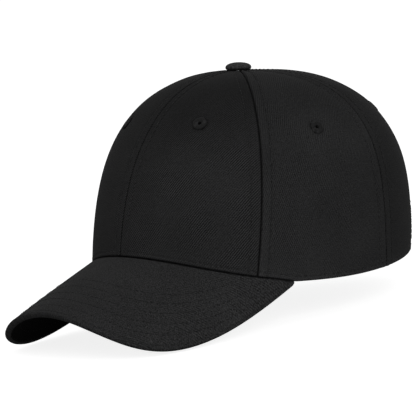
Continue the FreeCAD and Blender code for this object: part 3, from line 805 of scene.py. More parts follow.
# painted shade: the same thread, darkened for the shadow under the brim
UNDER_THREAD_SHADED = spun("under_thread_shaded", 0.0035)
EYELET_THREAD = spun("eyelet_thread", 0.0155)
FOAM = pile("padding_foam", (0.03, 0.03, 0.032), 1.8, 0.3)
LOOP_PILE = pile("loop_pile", (0.016, 0.016, 0.0165), 2.6, 0.4)
HOOK_PLASTIC = moulded("hook_plastic", (0.014, 0.014, 0.0145))
BOARD_PLASTIC = moulded("board_plastic", (0.55, 0.54, 0.5))
BUTTON_METAL = worn_metal("button_metal", (0.55, 0.56, 0.58), 0.35)
RIVET_METAL = worn_metal("rivet_metal", (0.42, 0.42, 0.43), 0.4)


# ======== crown panels ========

def eyelet_spot(which):
    """theta and rise of an eyelet on the wearer's left."""
    theta, level = EYELETS[which]
    return math.radians(theta), math.asin(level / CROWN_HEIGHT) * 2 / math.pi


def eyelet_place(which, mirror):
    """Place of an eyelet in metres, its z axis along the crown's normal."""
    theta, rise = eyelet_spot(which)
    sign = -1 if mirror else 1
    normal = Vector(crown_normal(theta, rise) * (sign, 1, 1))
    turn = normal.to_track_quat("Z", "Y").to_matrix().to_4x4()
    return Matrix.Translation(Vector(crown_point(theta, rise) * (sign, 1, 1)) * MM) @ turn


def stitch_offset(theta, rise, offset=STITCH_OFFSET):
    """Distance of a topstitch row from its seam, closing in towards the apex."""
    wedge = plan_radius(theta, rise) * WEDGE_SINE
    return offset * wedge / np.hypot(offset, wedge)


EDGE_STEPS = np.array([0, .1, .25, .45, .7, .95, 1.3, 1.9, 2.8, 3.8, 4.7, 5.3, 5.65, 6, 6.35, 6.8, 7.6, 9])
HEM_STEPS = np.array([0, .1, .25, .45, .7, .9, 1.3, 1.8, 2.2, 2.5, 2.8, 3.1, 3.5, 4.2, 5.2, 6.5])
MIDDLE_COLUMNS = 62
ROW_STEP = 1.7
BACK_WIDTH = 150.0         # a back panel's lower edge and its height, roughly
BACK_HEIGHT = 125.0


def panel_shares(width, squeeze):
    """Shares across a panel for each row: fine beside both seams, even in the middle."""
    scale = np.minimum(squeeze, 0.45 * width / EDGE_STEPS[-1])[None, :]
    left = EDGE_STEPS[:, None] * scale / width[None, :]
    right = 1 - left[::-1]
    inside = np.linspace(0, 1, MIDDLE_COLUMNS + 2)[1:-1, None]
    middle = left[-1:] + (right[:1] - left[-1:]) * inside
    return np.concatenate([left, middle, right])


def plain_panel(left, right):
    """theta and rise over a front or side panel."""
    middle = math.radians((left[0] + right[0]) / 2)
    low, top = lower_edge(middle), rise_at_radius(middle, BUTTON_HOLE_RADIUS)
    length = run_length(crown_point(middle, np.linspace(low, top, 60)), 0)[-1]
    v = graded(length, HEM_STEPS, ROW_STEP) / length
    rises = low + (top - low) * v
    a, b = seam_theta(left, rises), seam_theta(right, rises)
    width = run_length(crown_point(a + (b - a) * np.linspace(0, 1, 30)[:, None], rises), 0)[-1]
    u = panel_shares(width, stitch_offset(a, rises) / STITCH_OFFSET)
    base = np.radians(left[0] + (right[0] - left[0]) * u)
    low, top = lower_edge(base), rise_at_radius(base, BUTTON_HOLE_RADIUS)
    rise = low + (top - low) * v
    a, b = seam_theta(left, rise), seam_theta(right, rise)
    trim = SEAM_GAP / 2 / plan_radius((a + b) / 2, rise)
    return a + trim + (b - a - 2 * trim) * u, rise


def opening_share(points):
    """1 on the rear opening's edge, less inside it and more outside."""
    return (points[:, 0] / ARCH_HALF) ** 2 + (points[:, 2] / ARCH_HEIGHT) ** 2


def arch_path(shares):
    """theta and rise along the back panel's lower edge: the hem, then up round the rear opening."""
    hem = np.radians(np.linspace(REAR_SEAM[0], 172.0, 400))
    hem_rise = lower_edge(hem)
    points = crown_point(hem, hem_rise)
    foot = int(np.argmax(opening_share(points) < 1))
    start = math.asin(points[foot, 2] / ARCH_HEIGHT)
    turn = np.linspace(start, np.pi / 2, 300)
    arch, arch_rise = rear_place(ARCH_HALF * np.cos(turn), ARCH_HEIGHT * np.sin(turn))
    theta = np.concatenate([hem[:foot], arch])
    rise = np.concatenate([hem_rise[:foot], arch_rise])
    run = run_length(crown_point(theta, rise), 0)
    at = run[-1] * shares
    return np.interp(at, run, theta), np.interp(at, run, rise)


def back_panel(left, right):
    """theta and rise over a back panel, whose lower edge climbs round the rear opening."""
    near = EDGE_STEPS / BACK_WIDTH
    u = np.concatenate([near, np.linspace(near[-1], 1 - near[-1], 72)[1:-1], 1 - near[::-1]])
    low_theta, low = arch_path(u)
    v = graded(BACK_HEIGHT, HEM_STEPS, ROW_STEP) / BACK_HEIGHT
    u, low_theta, low = u[:, None], low_theta[:, None], low[:, None]
    top_theta = np.radians(left[1] + (right[1] - left[1]) * u)
    rise = low + (rise_at_radius(top_theta, BUTTON_HOLE_RADIUS) - low) * v
    a, b = seam_theta(left, rise), seam_theta(right, rise)
    carried = low_theta + (a - seam_theta(left, low)) * (1 - u)
    theta = carried + (a + (b - a) * u - carried) * ease(v)
    trim = SEAM_GAP / 2 / plan_radius(theta, rise)
    return theta + trim * (1 - 2 * u), rise


def cloth_grain(theta, rise, middle):
    """Cloth coordinates in millimetres: across from a panel's middle line, and up along it."""
    rises = np.linspace(LOWEST_RISE, 1, 400)
    up = run_length(crown_point(middle, rises), 0)
    metric = np.linalg.norm(crown_point(middle + STEP, rise) - crown_point(middle - STEP, rise), axis=-1)
    return np.stack([(theta - middle) * metric / (2 * STEP), np.interp(rise, rises, up)], -1)


def tuck_mark(points):
    """A short slanting nip in the side panel's hem, just behind the brim's end."""
    foot, head = (crown_point(BRIM_END + theta, lower_edge(BRIM_END + theta) + rise)
                  for theta, rise in TUCK_ENDS)
    line = head - foot
    along = np.clip((points - foot) @ line / (line @ line), 0, 1)[..., None]
    away = np.linalg.norm(points - foot - along * line, axis=-1)
    return TUCK_DEPTH * np.exp(-(away / TUCK_WIDTH) ** 2)


def panel_sheet(name, hand, places, which, material):
    """A crown panel: rolled seams, stitched grooves, puckers, a soft surface and an eyelet hole."""
    node, mirror = f"{name}_{hand}_panel", hand == "right"
    theta, rise = places
    base, normal = layer_path(theta, rise)
    from_left, from_hem = run_length(base, 0), run_length(base, 1)
    from_seam = inward(from_left, 0)
    seen = mirrored(base, mirror)
    offset = stitch_offset(theta, rise)
    beside = groove(from_seam, offset, 0.65)
    ripple = wave_noise(seen, 6.0) * np.exp(-((from_seam - offset) / 5.0) ** 2)
    hem_ripple = wave_noise(seen + 40, 7.0) * np.exp(-((from_hem - HEM_ROW) / 3.5) ** 2)
    hem = groove(from_hem, HEM_ROW, 0.6)
    swell = (0.5 + 0.5 * wave_noise(seen, 48.0, 2)) * ease(from_seam / 16) * ease(from_hem / 14)
    spot = crown_point(*eyelet_spot(which))
    away = np.linalg.norm(base - spot, axis=-1)
    tug = 0.6 * np.exp(-((away - 5.1) / 1.0) ** 2) * (1 + 0.7 * wave_noise(seen + 9, 2.4))
    depth = rolled(from_seam, SEAM_ROLL) + rolled(from_hem, HEM_ROLL) + tug
    if name == "side":
        depth = depth + tuck_mark(base)
    depth = depth - SEAM_PAD[name] * ease(1.15 - from_seam / np.maximum(offset, 1)) * ease(from_seam / 1.2)
    depth = depth + STITCH_SINK * beside + 0.8 * STITCH_SINK * hem
    depth = depth + PUCKER * (ripple + hem_ripple) - SOFTNESS[name] * swell
    outer = base - normal * depth[..., None]
    under = np.maximum(np.minimum(depth, 0.1) + PANEL_THICK, depth + 0.25)
    inner = base - normal * under[..., None]
    middle = float(theta[theta.shape[0] // 2, theta.shape[1] // 3])
    thing = sheet_object(f"{node}_cloth", outer, inner, cloth_grain(theta, rise, middle), mirror)
    mark_edges(thing, from_left, from_hem)
    cut_hole(thing, eyelet_place(which, mirror))
    return dress(thing, material, replaces=[node])


def build_panels():
    kinds = (("front", plain_panel(FRONT_SEAM, SIDE_SEAM), CLOTH_FRONT),
             ("side", plain_panel(SIDE_SEAM, REAR_SEAM), CLOTH_SIDE),
             ("back", back_panel(REAR_SEAM, BACK_SEAM), CLOTH_BACK))
    return [panel_sheet(name, hand, places, which, material)
            for which, (name, places, material) in enumerate(kinds) for hand in HANDS]


# ======== inside of the crown ========

def build_buckram():
    """Stiffened net behind each front panel, with its edges pressed thin."""
    u = np.linspace(0, 1, 60)[:, None]
    v = np.linspace(0, 1, 70)
    base = np.radians(FRONT_SEAM[0] + (SIDE_SEAM[0] - FRONT_SEAM[0]) * u)
    low = lower_edge(base)
    rise = low + (rise_at_radius(base, BUCKRAM_TOP_RADIUS) - low) * v
    a, b = seam_theta(FRONT_SEAM, rise), seam_theta(SIDE_SEAM, rise)
    trim = SEAM_GAP / plan_radius((a + b) / 2, rise)
    theta = a + trim + (b - a - 2 * trim) * u
    places = theta, rise
    grain = cloth_grain(theta, rise, math.radians(29))
    place, across, up = runs(places)
    thin = 0.2 * np.exp(-np.minimum(inward(across, 0), up) / 2.0)
    for hand in HANDS:
        mirror = hand == "right"
        wavy = 0.12 * np.abs(wave_noise(mirrored(place, mirror), 9.0))
        node = f"front_{hand}_buckram"
        inner = BUCKRAM_DEPTH + BUCKRAM_THICK - thin - wavy
        thing = layered(f"{node}_net", places, BUCKRAM_DEPTH + thin, inner, grain, mirror)
        cut_hole(thing, eyelet_place(0, mirror))
        dress(thing, BUCKRAM, replaces=[node])


def seam_strip(seam, half_width, offset, low, top, count=90, columns=17):
    """theta and rise over a strip along a seam, as wide as the room near the apex allows."""
    base = math.radians(seam[0])
    start = float(low(base + offset / plan_radius(base, 0)))
    rise = np.linspace(start, float(rise_at_radius(base, top)), count)
    theta = seam_theta(seam, rise)
    radius = plan_radius(theta, rise)
    wedge = radius * WEDGE_SINE
    half = half_width * wedge / np.hypot(half_width, wedge)
    side = offset * wedge / np.hypot(offset, wedge) if offset else 0.0
    u = np.linspace(-1, 1, columns)[:, None]
    return theta + (side + half * u) / radius, rise + 0 * u


def tape_sheet(node, places, depth=TAPE_DEPTH, mirror=False):
    """A woven tape with turned edges, two stitched grooves and a padded middle."""
    place, across, up = runs(places)
    edge = inward(across, 0)
    rounding = np.minimum(rolled(edge, 0.25), 0.25)
    sunk = 0.16 * groove(edge, 1.4, 0.45) - 0.10 * groove(edge, 0.6, 0.5)
    plump = 0.10 * np.sin(np.pi * across / np.maximum(across[-1:], 0.1))
    buckle = 0.06 * wave_noise(mirrored(place, mirror), 5.0)
    inner = depth + TAPE_THICK - rounding - sunk + plump + buckle
    thing = layered(f"{node}_woven", places, depth + rounding, inner, np.stack([across, up], -1), mirror)
    dress(thing, BINDING, replaces=[node])


def above_arch(theta):
    return rise_at_height(theta, ARCH_HEIGHT + ARCH_TAPE_WIDTH + ARCH_TAPE_CLEAR)


def build_tapes():
    for end, seam, low in (("front", FRONT_SEAM, lower_edge), ("back", BACK_SEAM, above_arch)):
        tape_sheet(f"{end}_seam_tape", seam_strip(seam, TAPE_HALF_WIDTH, 0, low, TAPE_TOP_RADIUS))
    for end, seam in (("front", SIDE_SEAM), ("back", REAR_SEAM)):
        places = seam_strip(seam, TAPE_HALF_WIDTH, 0, lower_edge, TAPE_TOP_RADIUS)
        for hand in HANDS:
            tape_sheet(f"{end}_{hand}_seam_tape", places, mirror=hand == "right")
    theta, rise = arch_strip(ARCH_TAPE_CLEAR, ARCH_TAPE_WIDTH, 150, 17)
    tape_sheet("rear_opening_tape", (theta.T, rise.T), ARCH_TAPE_DEPTH)


def arch_strip(clear, reach, count, columns, foot=5.0):
    """theta and rise over a band round the rear opening, from its edge outwards."""
    low = math.asin(foot / ARCH_HEIGHT)
    turn = np.linspace(low, np.pi - low, count)[:, None]
    out = np.linspace(clear, reach, columns)
    normal = unit(np.stack([np.cos(turn) / ARCH_HALF, np.sin(turn) / ARCH_HEIGHT], -1))
    x = ARCH_HALF * np.cos(turn) + normal[..., 0] * out
    z = ARCH_HEIGHT * np.sin(turn) + normal[..., 1] * out
    return rear_place(x, z)


def ring_places(end, height, columns, rows):
    theta = np.radians(np.linspace(-end, end, columns))[:, None]
    low = lower_edge(theta)
    bottom = crown_point(theta, low)[..., 2]
    top = rise_at_height(theta, bottom + height)
    return theta + 0 * rows, low + (top - low) * rows


PUFF = {"use_pressure": True, "uniform_pressure_force": 5.0, "shrink_min": -0.05, "quality": 5,
        "tension_stiffness": 18, "compression_stiffness": 12, "bending_stiffness": 0.25}
PUFF_FRAMES = 14
PUFF_CAP = 1.7             # no point of the sweatband moves further than this


def puff(thing, held):
    """Blows a closed sheet up with a short cloth simulation, keeps the held points, caps the rest."""
    group = thing.vertex_groups.new(name="held")
    group.add([int(i) for i in np.flatnonzero(held)], 1.0, "REPLACE")
    cloth = thing.modifiers.new("puff", "CLOTH")
    cloth.settings.vertex_group_mass = "held"
    cloth.settings.effector_weights.gravity = 0
    for key, item in PUFF.items():
        setattr(cloth.settings, key, item)
    cloth.collision_settings.use_collision = False
    cloth.point_cache.frame_start = 1
    cloth.point_cache.frame_end = PUFF_FRAMES
    rest = np.array([v.co for v in thing.data.vertices])
    scene = bpy.context.scene
    for number in range(1, PUFF_FRAMES + 1):
        scene.frame_set(number)
    solved = thing.evaluated_get(bpy.context.evaluated_depsgraph_get())
    moved = np.array([v.co for v in solved.data.vertices]) - rest
    size = np.linalg.norm(moved, axis=1, keepdims=True)
    moved *= np.minimum(1, PUFF_CAP * MM / np.maximum(size, 1e-9))
    thing.modifiers.remove(cloth)
    scene.frame_set(1)
    thing.data.vertices.foreach_set("co", (rest + moved).astype(np.float32).ravel())
    thing.data.update()


def build_sweatband():
    rows = np.array([0, .5, 1.2, 2, 3, 4.5, 7, 10, 13, 16, 19, 22, 25, 27.5, 29.5, 30.7, 31.6, 32.4, 33])
    places = ring_places(BAND_END, BAND_HEIGHT, 330, rows / BAND_HEIGHT)
    _, across, up = runs(places)
    rounding = rolled(inward(up, 1), 0.38)
    band = layered("sweatband_cloth", places, BAND_DEPTH + rounding, BAND_DEPTH + BAND_THICK - rounding,
                   np.stack([across, up], -1))
    held = np.ones((2, *across.shape), bool)
    held[1, 1:-1, 5:14] = False
    puff(band, held.ravel())
    dress(band, BAND_CLOTH, replaces=["sweatband"])
    places = ring_places(PADDING_END, BAND_HEIGHT - 0.6, 240, np.linspace(0.01, 1, 15))
    place, _, up = runs(places)
    worn = rolled(inward(up, 1), 0.35) + 0.12 * np.abs(wave_noise(place, 4.0))
    foam = layered("sweatband_padding_foam", places, PADDING_DEPTH + worn,
                   PADDING_DEPTH + PADDING_THICK - worn)
    dress(foam, FOAM, replaces=["sweatband_padding"])
    return band


# ======== brim ========

# Edges of the brim's covers as (inset from the outer edge, depth in from the cover's own face).
# The top cover is folded right round the rim and ends under the brim.
TOP_RIM = ((2.05, 3.15), (1.75, 3.55), (1.35, 3.78), (.9, 3.78), (.48, 3.45), (.16, 2.8),
           (0, 2.0), (0, 1.3), (.12, .72), (.4, .27), (.75, .06), (1.05, 0))
TOP_RIM_LINING = ((2.05, 2.72), (1.75, 2.8), (1.4, 2.85), (1.1, 2.8), (.85, 2.6), (.62, 2.25), (.5, 1.8),
                  (.5, 1.35), (.58, 1.02), (.75, .74), (.95, .58), (1.2, .5))
UNDER_RIM = ((2.1, .44), (2.06, .3), (2.1, .14), (2.22, .03))
UNDER_RIM_LINING = ((2.15, .48), (2.2, .5), (2.25, .5), (2.3, .5))
ROOT_STEP = 0.3            # rows of the covers are this close beside the crown
ROOT_ROWS = 14
RIM_KEPT = 8.0             # rows this near the edge keep their distance all round


def cover_rows(rim, lining):
    """Inset and depth of each row of a brim cover, outside and inside, edge first."""
    fine = np.array([2.35, 2.6, 2.85, 3.2, 3.7, 4.4, 5.2])
    total = BRIM_REACH + BRIM_TUCK
    flat = graded(total - ROOT_STEP * ROOT_ROWS, fine, 0.75)
    flat = np.concatenate([flat, flat[-1] + ROOT_STEP * np.arange(1, ROOT_ROWS + 1)])
    outside = np.concatenate([np.array(rim), np.stack([flat, 0 * flat], -1)])
    inside = np.concatenate([np.array(lining), np.stack([flat, 0 * flat + BRIM_COVER], -1)])
    return outside, inside


def brim_layer(rows, side):
    """Plan inset of each row, closer together where the brim is short, and its points and normals."""
    room = brim_length(side) + BRIM_TUCK
    near = np.minimum(rows[:, 0], RIM_KEPT) * np.minimum(room / RIM_KEPT, 1)
    closing = np.maximum(room - RIM_KEPT, 0) / (BRIM_REACH + BRIM_TUCK - RIM_KEPT)
    inset = near + np.maximum(rows[:, 0] - RIM_KEPT, 0) * closing
    return (inset, *brim_surface(brim_place(side, inset)))


def root_dip(inside_crown):
    """Depth of the channel that the sewn seam pulls into the top cover along the crown's edge."""
    return 1.3 * ease((inside_crown + 1.0) / 0.7) * (1 - 0.8 * ease((inside_crown - 1.1) / 0.6))


def build_brim():
    """Top and under covers, with grooves under their rows of stitches."""
    side = np.linspace(-BRIM_END_SHARE, BRIM_END_SHARE, 230)[:, None]
    room = brim_length(side)
    made = []
    for name, rim, lining, material in (("brim_top_cover", TOP_RIM, TOP_RIM_LINING, CLOTH_BRIM),
                                        ("brim_under_cover", UNDER_RIM, UNDER_RIM_LINING, CLOTH_UNDER_SHADED)):
        on_top = name == "brim_top_cover"
        rows, lined = cover_rows(rim, lining)
        inset, top, normal = brim_layer(rows, side)
        lined_inset, low_top, low_normal = brim_layer(lined, side)
        flat = rows[:, 1] == 0
        sink = 0.30 * groove(inset, BRIM_ROWS[0], 0.5)
        sink = sink + 0.08 * sum(groove(inset, row, 0.55) for row in BRIM_ROWS[1:])
        welt = 0.10 * groove(inset, 1.2, 0.8)
        ripple = 0.12 * wave_noise(top, 7.0) * np.exp(-((inset - BRIM_ROWS[0]) / 3.0) ** 2)
        broad = 0.16 * wave_noise(top, 24.0)
        if on_top:
            depth = rows[:, 1] + broad + (sink - welt + ripple) * flat + root_dip(inset - room)
            lined_depth = lined[:, 1] + broad + root_dip(lined_inset - room)
        else:
            lift = 0.4 * ease((inset - room) / 1.2)
            depth = BRIM_THICK - rows[:, 1] + broad - (0.7 * sink - welt - 0.1 * ripple) * flat - lift
            lined_depth = BRIM_THICK - lined[:, 1] + broad - lift
        skin = top - normal * depth[..., None]
        back = low_top - low_normal * lined_depth[..., None]
        outer, inner = (skin, back) if on_top else (back, skin)
        thing = sheet_object(f"{name}_cloth", outer[:, ::-1], inner[:, ::-1], top[:, ::-1, :2])
        made.append(dress(thing, material, replaces=[name]))
    return made


def brim_paths():
    """Stitch rows of the brim, as plan paths at fixed distances inside the outer edge."""
    rows = []
    for offset in BRIM_ROWS:
        side = np.linspace(-BRIM_END_SHARE, BRIM_END_SHARE, 500)
        side = side[brim_length(side) > offset + 2.0]
        rows.append(brim_surface(brim_place(side, np.full(side.shape, offset))))
    return rows


# ======== button, eyelets ========

def revolve_object(name, profile, around, place, ridge):
    """A closed ring or dome from a profile of (radius, height); ridge(angle, index) shifts it."""
    angles = np.arange(around) * 2 * np.pi / around
    radius = np.array([p[0] for p in profile])
    height = np.array([p[1] for p in profile])
    shift_r, shift_h = ridge(angles[:, None], np.arange(len(profile))[None])
    r = radius[None] + shift_r
    h = height[None] + shift_h + 0 * r
    points = np.stack([r * np.cos(angles)[:, None], r * np.sin(angles)[:, None], h], -1)
    count = len(profile)
    faces = []
    for i in range(around):
        k = (i + 1) % around
        for j in range(count):
            m = (j + 1) % count
            faces.append([i * count + j, k * count + j, k * count + m, i * count + m])
    turned = points.reshape(-1, 3)
    matrix = np.array(place)
    moved = turned @ matrix[:3, :3].T + matrix[:3, 3] / MM
    return make_object(name, moved, faces, turned[:, :2])


def joined(name, things):
    bpy.ops.object.select_all(action="DESELECT")
    for thing in things:
        thing.select_set(True)
    bpy.context.view_layer.objects.active = things[0]
    bpy.ops.object.join()
    things[0].name = name
    return things[0]


def eyelet_profile(cloth):
    """Closed section of a sewn eyelet that grips both faces of the cloth."""
    reach = (EYELET_RADIUS - EYELET_WELL) / 2
    points = []
    for centre_z, start, stop in ((EYELET_SKIN, -0.1, 1.0), (-cloth - EYELET_SKIN, 1.0, 2.1)):
        for turn in np.linspace(start, stop, 9) * np.pi:
            radius = EYELET_WELL + reach * (1 + math.cos(turn))
            points.append((radius, centre_z + EYELET_LIP * math.sin(turn)))
    middle = points[8]
    return points[:9] + [(middle[0], (middle[1] - cloth) / 2)] + points[9:] + [(2.3, -cloth / 2)]


def wrapped(angle, index):
    """Uneven strands of thread wound round an eyelet's ring."""
    strand = 0.10 * (np.abs(np.sin(angle * EYELET_WRAPS / 2)) ** 0.8 - 0.5) + 0 * index
    return strand + 0.056 * np.sin(angle * 5 + 1) + 0.04 * np.sin(angle * 11 + 2), strand


def build_eyelets():
    made = []
    for which, cloth in enumerate((BUCKRAM_DEPTH + BUCKRAM_THICK, PANEL_THICK, PANEL_THICK)):
        for mirror in (False, True):
            made.append(revolve_object(f"eyelet_{which}_{mirror}", eyelet_profile(cloth), EYELET_WRAPS * 6,
                                       eyelet_place(which, mirror), wrapped))
    dress(joined("eyelets_sewn", made), EYELET_THREAD, replaces=["eyelets"])


def apex_place():
    turn = Matrix.Rotation(-CROWN_TILT, 4, "X")
    return Matrix.Translation(Vector(APEX) * MM) @ turn


def build_button():
    """Cloth drawn over the button's dome and gathered under its rim."""
    outer = [(7.85, 1.5), (7.9, 2.0), (7.7, 2.7), (7.15, 3.35), (6.25, 3.9), (5.1, 4.35), (3.7, 4.68),
             (2.4, 4.86), (1.1, 4.96), (0.02, 4.98)]
    inner = [(0.02, 4.2), (2.4, 4.1), (4.6, 3.75), (5.9, 3.2), (6.55, 2.4), (6.6, 1.5),
             (6.2, 0.95), (4.4, 0.86)]
    rim = [(4.4, 0.3), (5.4, 0.2), (6.6, 0.32), (7.5, 0.85)]
    gathers = 26

    def gathered(angle, index):
        fold = np.cos(angle * gathers + 0.8 * np.sin(angle * 3))
        strength = np.select([index < 4, index < 6, index < 8], [0.12, 0.045, 0.012], 0.0)
        lumps = 0.03 * np.sin(angle * 3 + 1) + 0.01 * np.sin(angle * 7)
        return strength * fold + lumps * (index < 12), 0.3 * strength * fold

    thing = revolve_object("button_cover_cloth", rim + outer + inner, 8 * gathers, apex_place(), gathered)
    dress(thing, CLOTH_BUTTON, replaces=["button_cover"])


# ======== rear straps ========

def hook_depth(x):
    climbed = ease((x + HINGE_X) / STRAP_CLIMB)
    return STRAP_DEPTH + (HOOK_STRAP_DEPTH - STRAP_DEPTH) * climbed


def tip_cut(from_tip, length):
    """How far a strap's rounded end draws its edge in, at a distance from its tip."""
    near = np.clip(1 - from_tip / length, 0, 1)
    return length * (1 - np.sqrt(1 - (near * TIP_ROUND) ** 2))


def strap_places(x, tip_x, fine):
    """Grid over a strap: x along it, z across it, rounded where it ends at tip_x."""
    low, width = STRAP_LOW, STRAP_HIGH - STRAP_LOW
    inside = np.linspace(fine[-1], width - fine[-1], 11)[1:-1]
    across = np.concatenate([fine, inside, width - fine[::-1]])
    cut = tip_cut(np.abs(tip_x - x), TIP_LENGTH)[:, None]
    share = across[None] / width
    return x[:, None] + 0 * share, low + cut + (width - 2 * cut) * share


def strap_cloth(name, root, tip_x, depth_at):
    """A folded, edge-stitched strap from its sewn root to its rounded end."""
    direction = math.copysign(1, tip_x - root)
    length = abs(tip_x - root)
    fine = np.array([0, .12, .3, .5, .7, 1.2, 1.8, 2.2, 2.6, 3.2])
    run = np.concatenate([fine, np.linspace(fine[-1], length - fine[-1], 84)[1:-1], length - fine[::-1]])
    x = root + direction * run
    gx, gz = strap_places(x, tip_x, fine)
    theta, rise = rear_place(gx, gz)
    base = depth_at(gx)
    place = crown_point(theta, rise)
    up = run_length(place, 1)
    edge = np.minimum(inward(up, 1), np.minimum(run, length - run)[:, None])
    rounding = rolled(edge, 0.62)
    sink = 0.2 * groove(edge, STRAP_ROW, 0.5)
    ripple = 0.12 * wave_noise(place, 5.0) * np.exp(-((edge - STRAP_ROW) / 2.5) ** 2)
    outer = layer_point(theta, rise, base + rounding + sink + ripple)
    inner = layer_point(theta, rise, base + STRAP_THICK - rounding - 0.5 * sink)
    if direction > 0:
        outer, inner = outer[::-1], inner[::-1]
        gx, up = gx[::-1], up[::-1]
    return sheet_object(name, outer, inner, np.stack([-gx, up], -1))


def strap_edge_path(root, tip_x, depth_at):
    """Path of the stitching round a strap, inside its edges."""
    end = tip_x - math.copysign(STRAP_ROW, tip_x - root)
    xs = np.linspace(root, end, 120)
    cut = STRAP_ROW + tip_cut(np.abs(end - xs), TIP_LENGTH - STRAP_ROW)
    x = np.concatenate([xs, xs[::-1]])
    z = np.concatenate([STRAP_LOW + cut, (STRAP_HIGH - cut)[::-1]])
    return layer_path(*rear_place(x, z), depth_at(x))


def pad_places(ends, columns, rows, inset=2.5):
    """theta and rise over a fastening tape, inside its strap."""
    x = np.linspace(*ends, columns)[:, None]
    z = np.linspace(STRAP_LOW + inset, STRAP_HIGH - inset, rows)[None]
    return rear_place(x + 0 * z, z + 0 * x)


def build_loop_tape():
    """Loop tape: a backing with a tufted pile."""
    places = pad_places(LOOP_TAPE_X, 120, 60)
    place, across, up = runs(places)
    edge = np.minimum(inward(across, 0), inward(up, 1))
    tufts = 0.32 * np.abs(wave_noise(place, 0.9)) + 0.18 * np.abs(wave_noise(place + 7, 2.1))
    thing = layered("loop_tape_pile", places, 0.74 + rolled(edge, 0.45) + tufts, 1.8 + 0 * edge,
                    np.stack([across, up], -1))
    dress(thing, LOOP_PILE, "loop_strap_flap", ["loop_tape"])


# Levels of one moulded hook as (place along the tape, height off it, half thickness)
HOOK_BEND = ((0, 0, 0.16), (0, 0.28, 0.13), (0.1, 0.48, 0.11), (0.3, 0.52, 0.09), (0.42, 0.4, 0.05))


def build_hook_tape():
    """Hook tape: a backing with rows of small bent hooks on its inner face."""
    places = pad_places(HOOK_TAPE_X, 60, 40)
    _, across, up = runs(places)
    edge = np.minimum(inward(across, 0), inward(up, 1))
    backing = layered("hook_tape_moulded", places, rolled(edge, 0.2) - 0.55,
                      -0.12 - 0.3 * rolled(edge, 0.4), np.stack([across, up], -1))
    gx, gz = np.meshgrid(np.arange(-7.0, 19.2, HOOK_PITCH), np.arange(9.2, 29.0, HOOK_PITCH), indexing="ij")
    points, faces = [], []
    for root, normal in zip(*layer_path(*rear_place(gx.ravel(), gz.ravel()), -0.15)):
        side = unit(np.cross(normal, (0, 0, 1.0)))
        lift = np.cross(side, normal)
        faces += tube_faces(len(points), len(HOOK_BEND), 4)
        for along, height, girth in HOOK_BEND:
            centre = root - normal * height + lift * along
            for a, b in ((1, 1), (-1, 1), (-1, -1), (1, -1)):
                points.append(centre + side * girth * a + (lift + normal * 0.4) * girth * b)
    hooks = make_object("hook_tape_hooks", np.array(points), faces)
    tape = joined("hook_tape_moulded", [backing, hooks])
    dress(tape, HOOK_PLASTIC, "hook_strap_flap", ["hook_tape"])


def flat_depth(x):
    return STRAP_DEPTH + 0 * x


def build_straps():
    for kind, side, depth_at in (("loop", 1, flat_depth), ("hook", -1, hook_depth)):
        root, tip_x = side * ANCHOR_X, -side * STRAP_TIP_X
        strap = strap_cloth(f"{kind}_strap_cloth", root, tip_x, depth_at)
        row = sew(f"{kind}_strap_stitches", [strap_edge_path(root, tip_x, depth_at)], Skin(strap))
        dress(strap, CLOTH_BACK, body=None, replaces=[f"{kind}_strap", f"{kind}_strap_anchor"])
        dress(row, THREAD, body=None)
        for thing in (strap, row):
            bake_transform(thing)
    build_loop_tape()
    build_hook_tape()


# ======== stitching on the crown ========

def both_sides(rows):
    return rows + [(path * (-1, 1, 1), normals * (-1, 1, 1)) for path, normals in rows]


def crown_rows():
    """Topstitching on each side of every seam."""
    middle, sides = [], []
    for seam, low in ((FRONT_SEAM, lower_edge), (SIDE_SEAM, lower_edge), (REAR_SEAM, lower_edge),
                      (BACK_SEAM, above_opening)):
        for offset in (STITCH_OFFSET, -STITCH_OFFSET):
            theta, rise = seam_strip(seam, 0.01, offset, low, STITCH_TOP_RADIUS, 160, 1)
            rows = sides if seam in (SIDE_SEAM, REAR_SEAM) else middle
            rows.append(layer_path(theta[0], rise[0]))
    return middle + both_sides(sides)


def above_opening(theta):
    return rise_at_height(theta, ARCH_HEIGHT + 1.0)


def hem_rows():
    """One row above the crown's lower edge, on both sides of the rear opening."""
    theta = np.radians(np.linspace(0.6, 146.0, 500))
    low = lower_edge(theta)
    points = crown_point(theta, low)
    metric = np.linalg.norm(crown_point(theta, low + STEP) - points, axis=-1) / STEP
    keep = (theta < np.pi / 2) | (opening_share(points) > 1.02)
    rise = (low + HEM_ROW / metric)[keep]
    return both_sides([layer_path(theta[keep], rise)])


def arch_rows():
    """Two rows along the binding of the rear opening."""
    places = [arch_strip(reach, reach, 400, 1, foot=8.0) for reach in ARCH_STITCHES]
    return [layer_path(theta[:, 0], rise[:, 0]) for theta, rise in places]


def root_rows():
    """Short upright rows that fasten the straps' roots."""
    z = np.linspace(STRAP_LOW + 2, STRAP_HIGH - 2, 40)
    return both_sides([layer_path(*rear_place(x, z)) for x in ROOT_STITCHES])


def band_row(height):
    """A row round the inside of the sweatband at a height above the crown's lower edge."""
    theta = np.radians(np.linspace(-BAND_END + 1, BAND_END - 1, 900))
    rise = rise_at_height(theta, crown_point(theta, lower_edge(theta))[:, 2] + height)
    path, normals = layer_path(theta, rise, BAND_DEPTH + BAND_THICK)
    return path, -normals


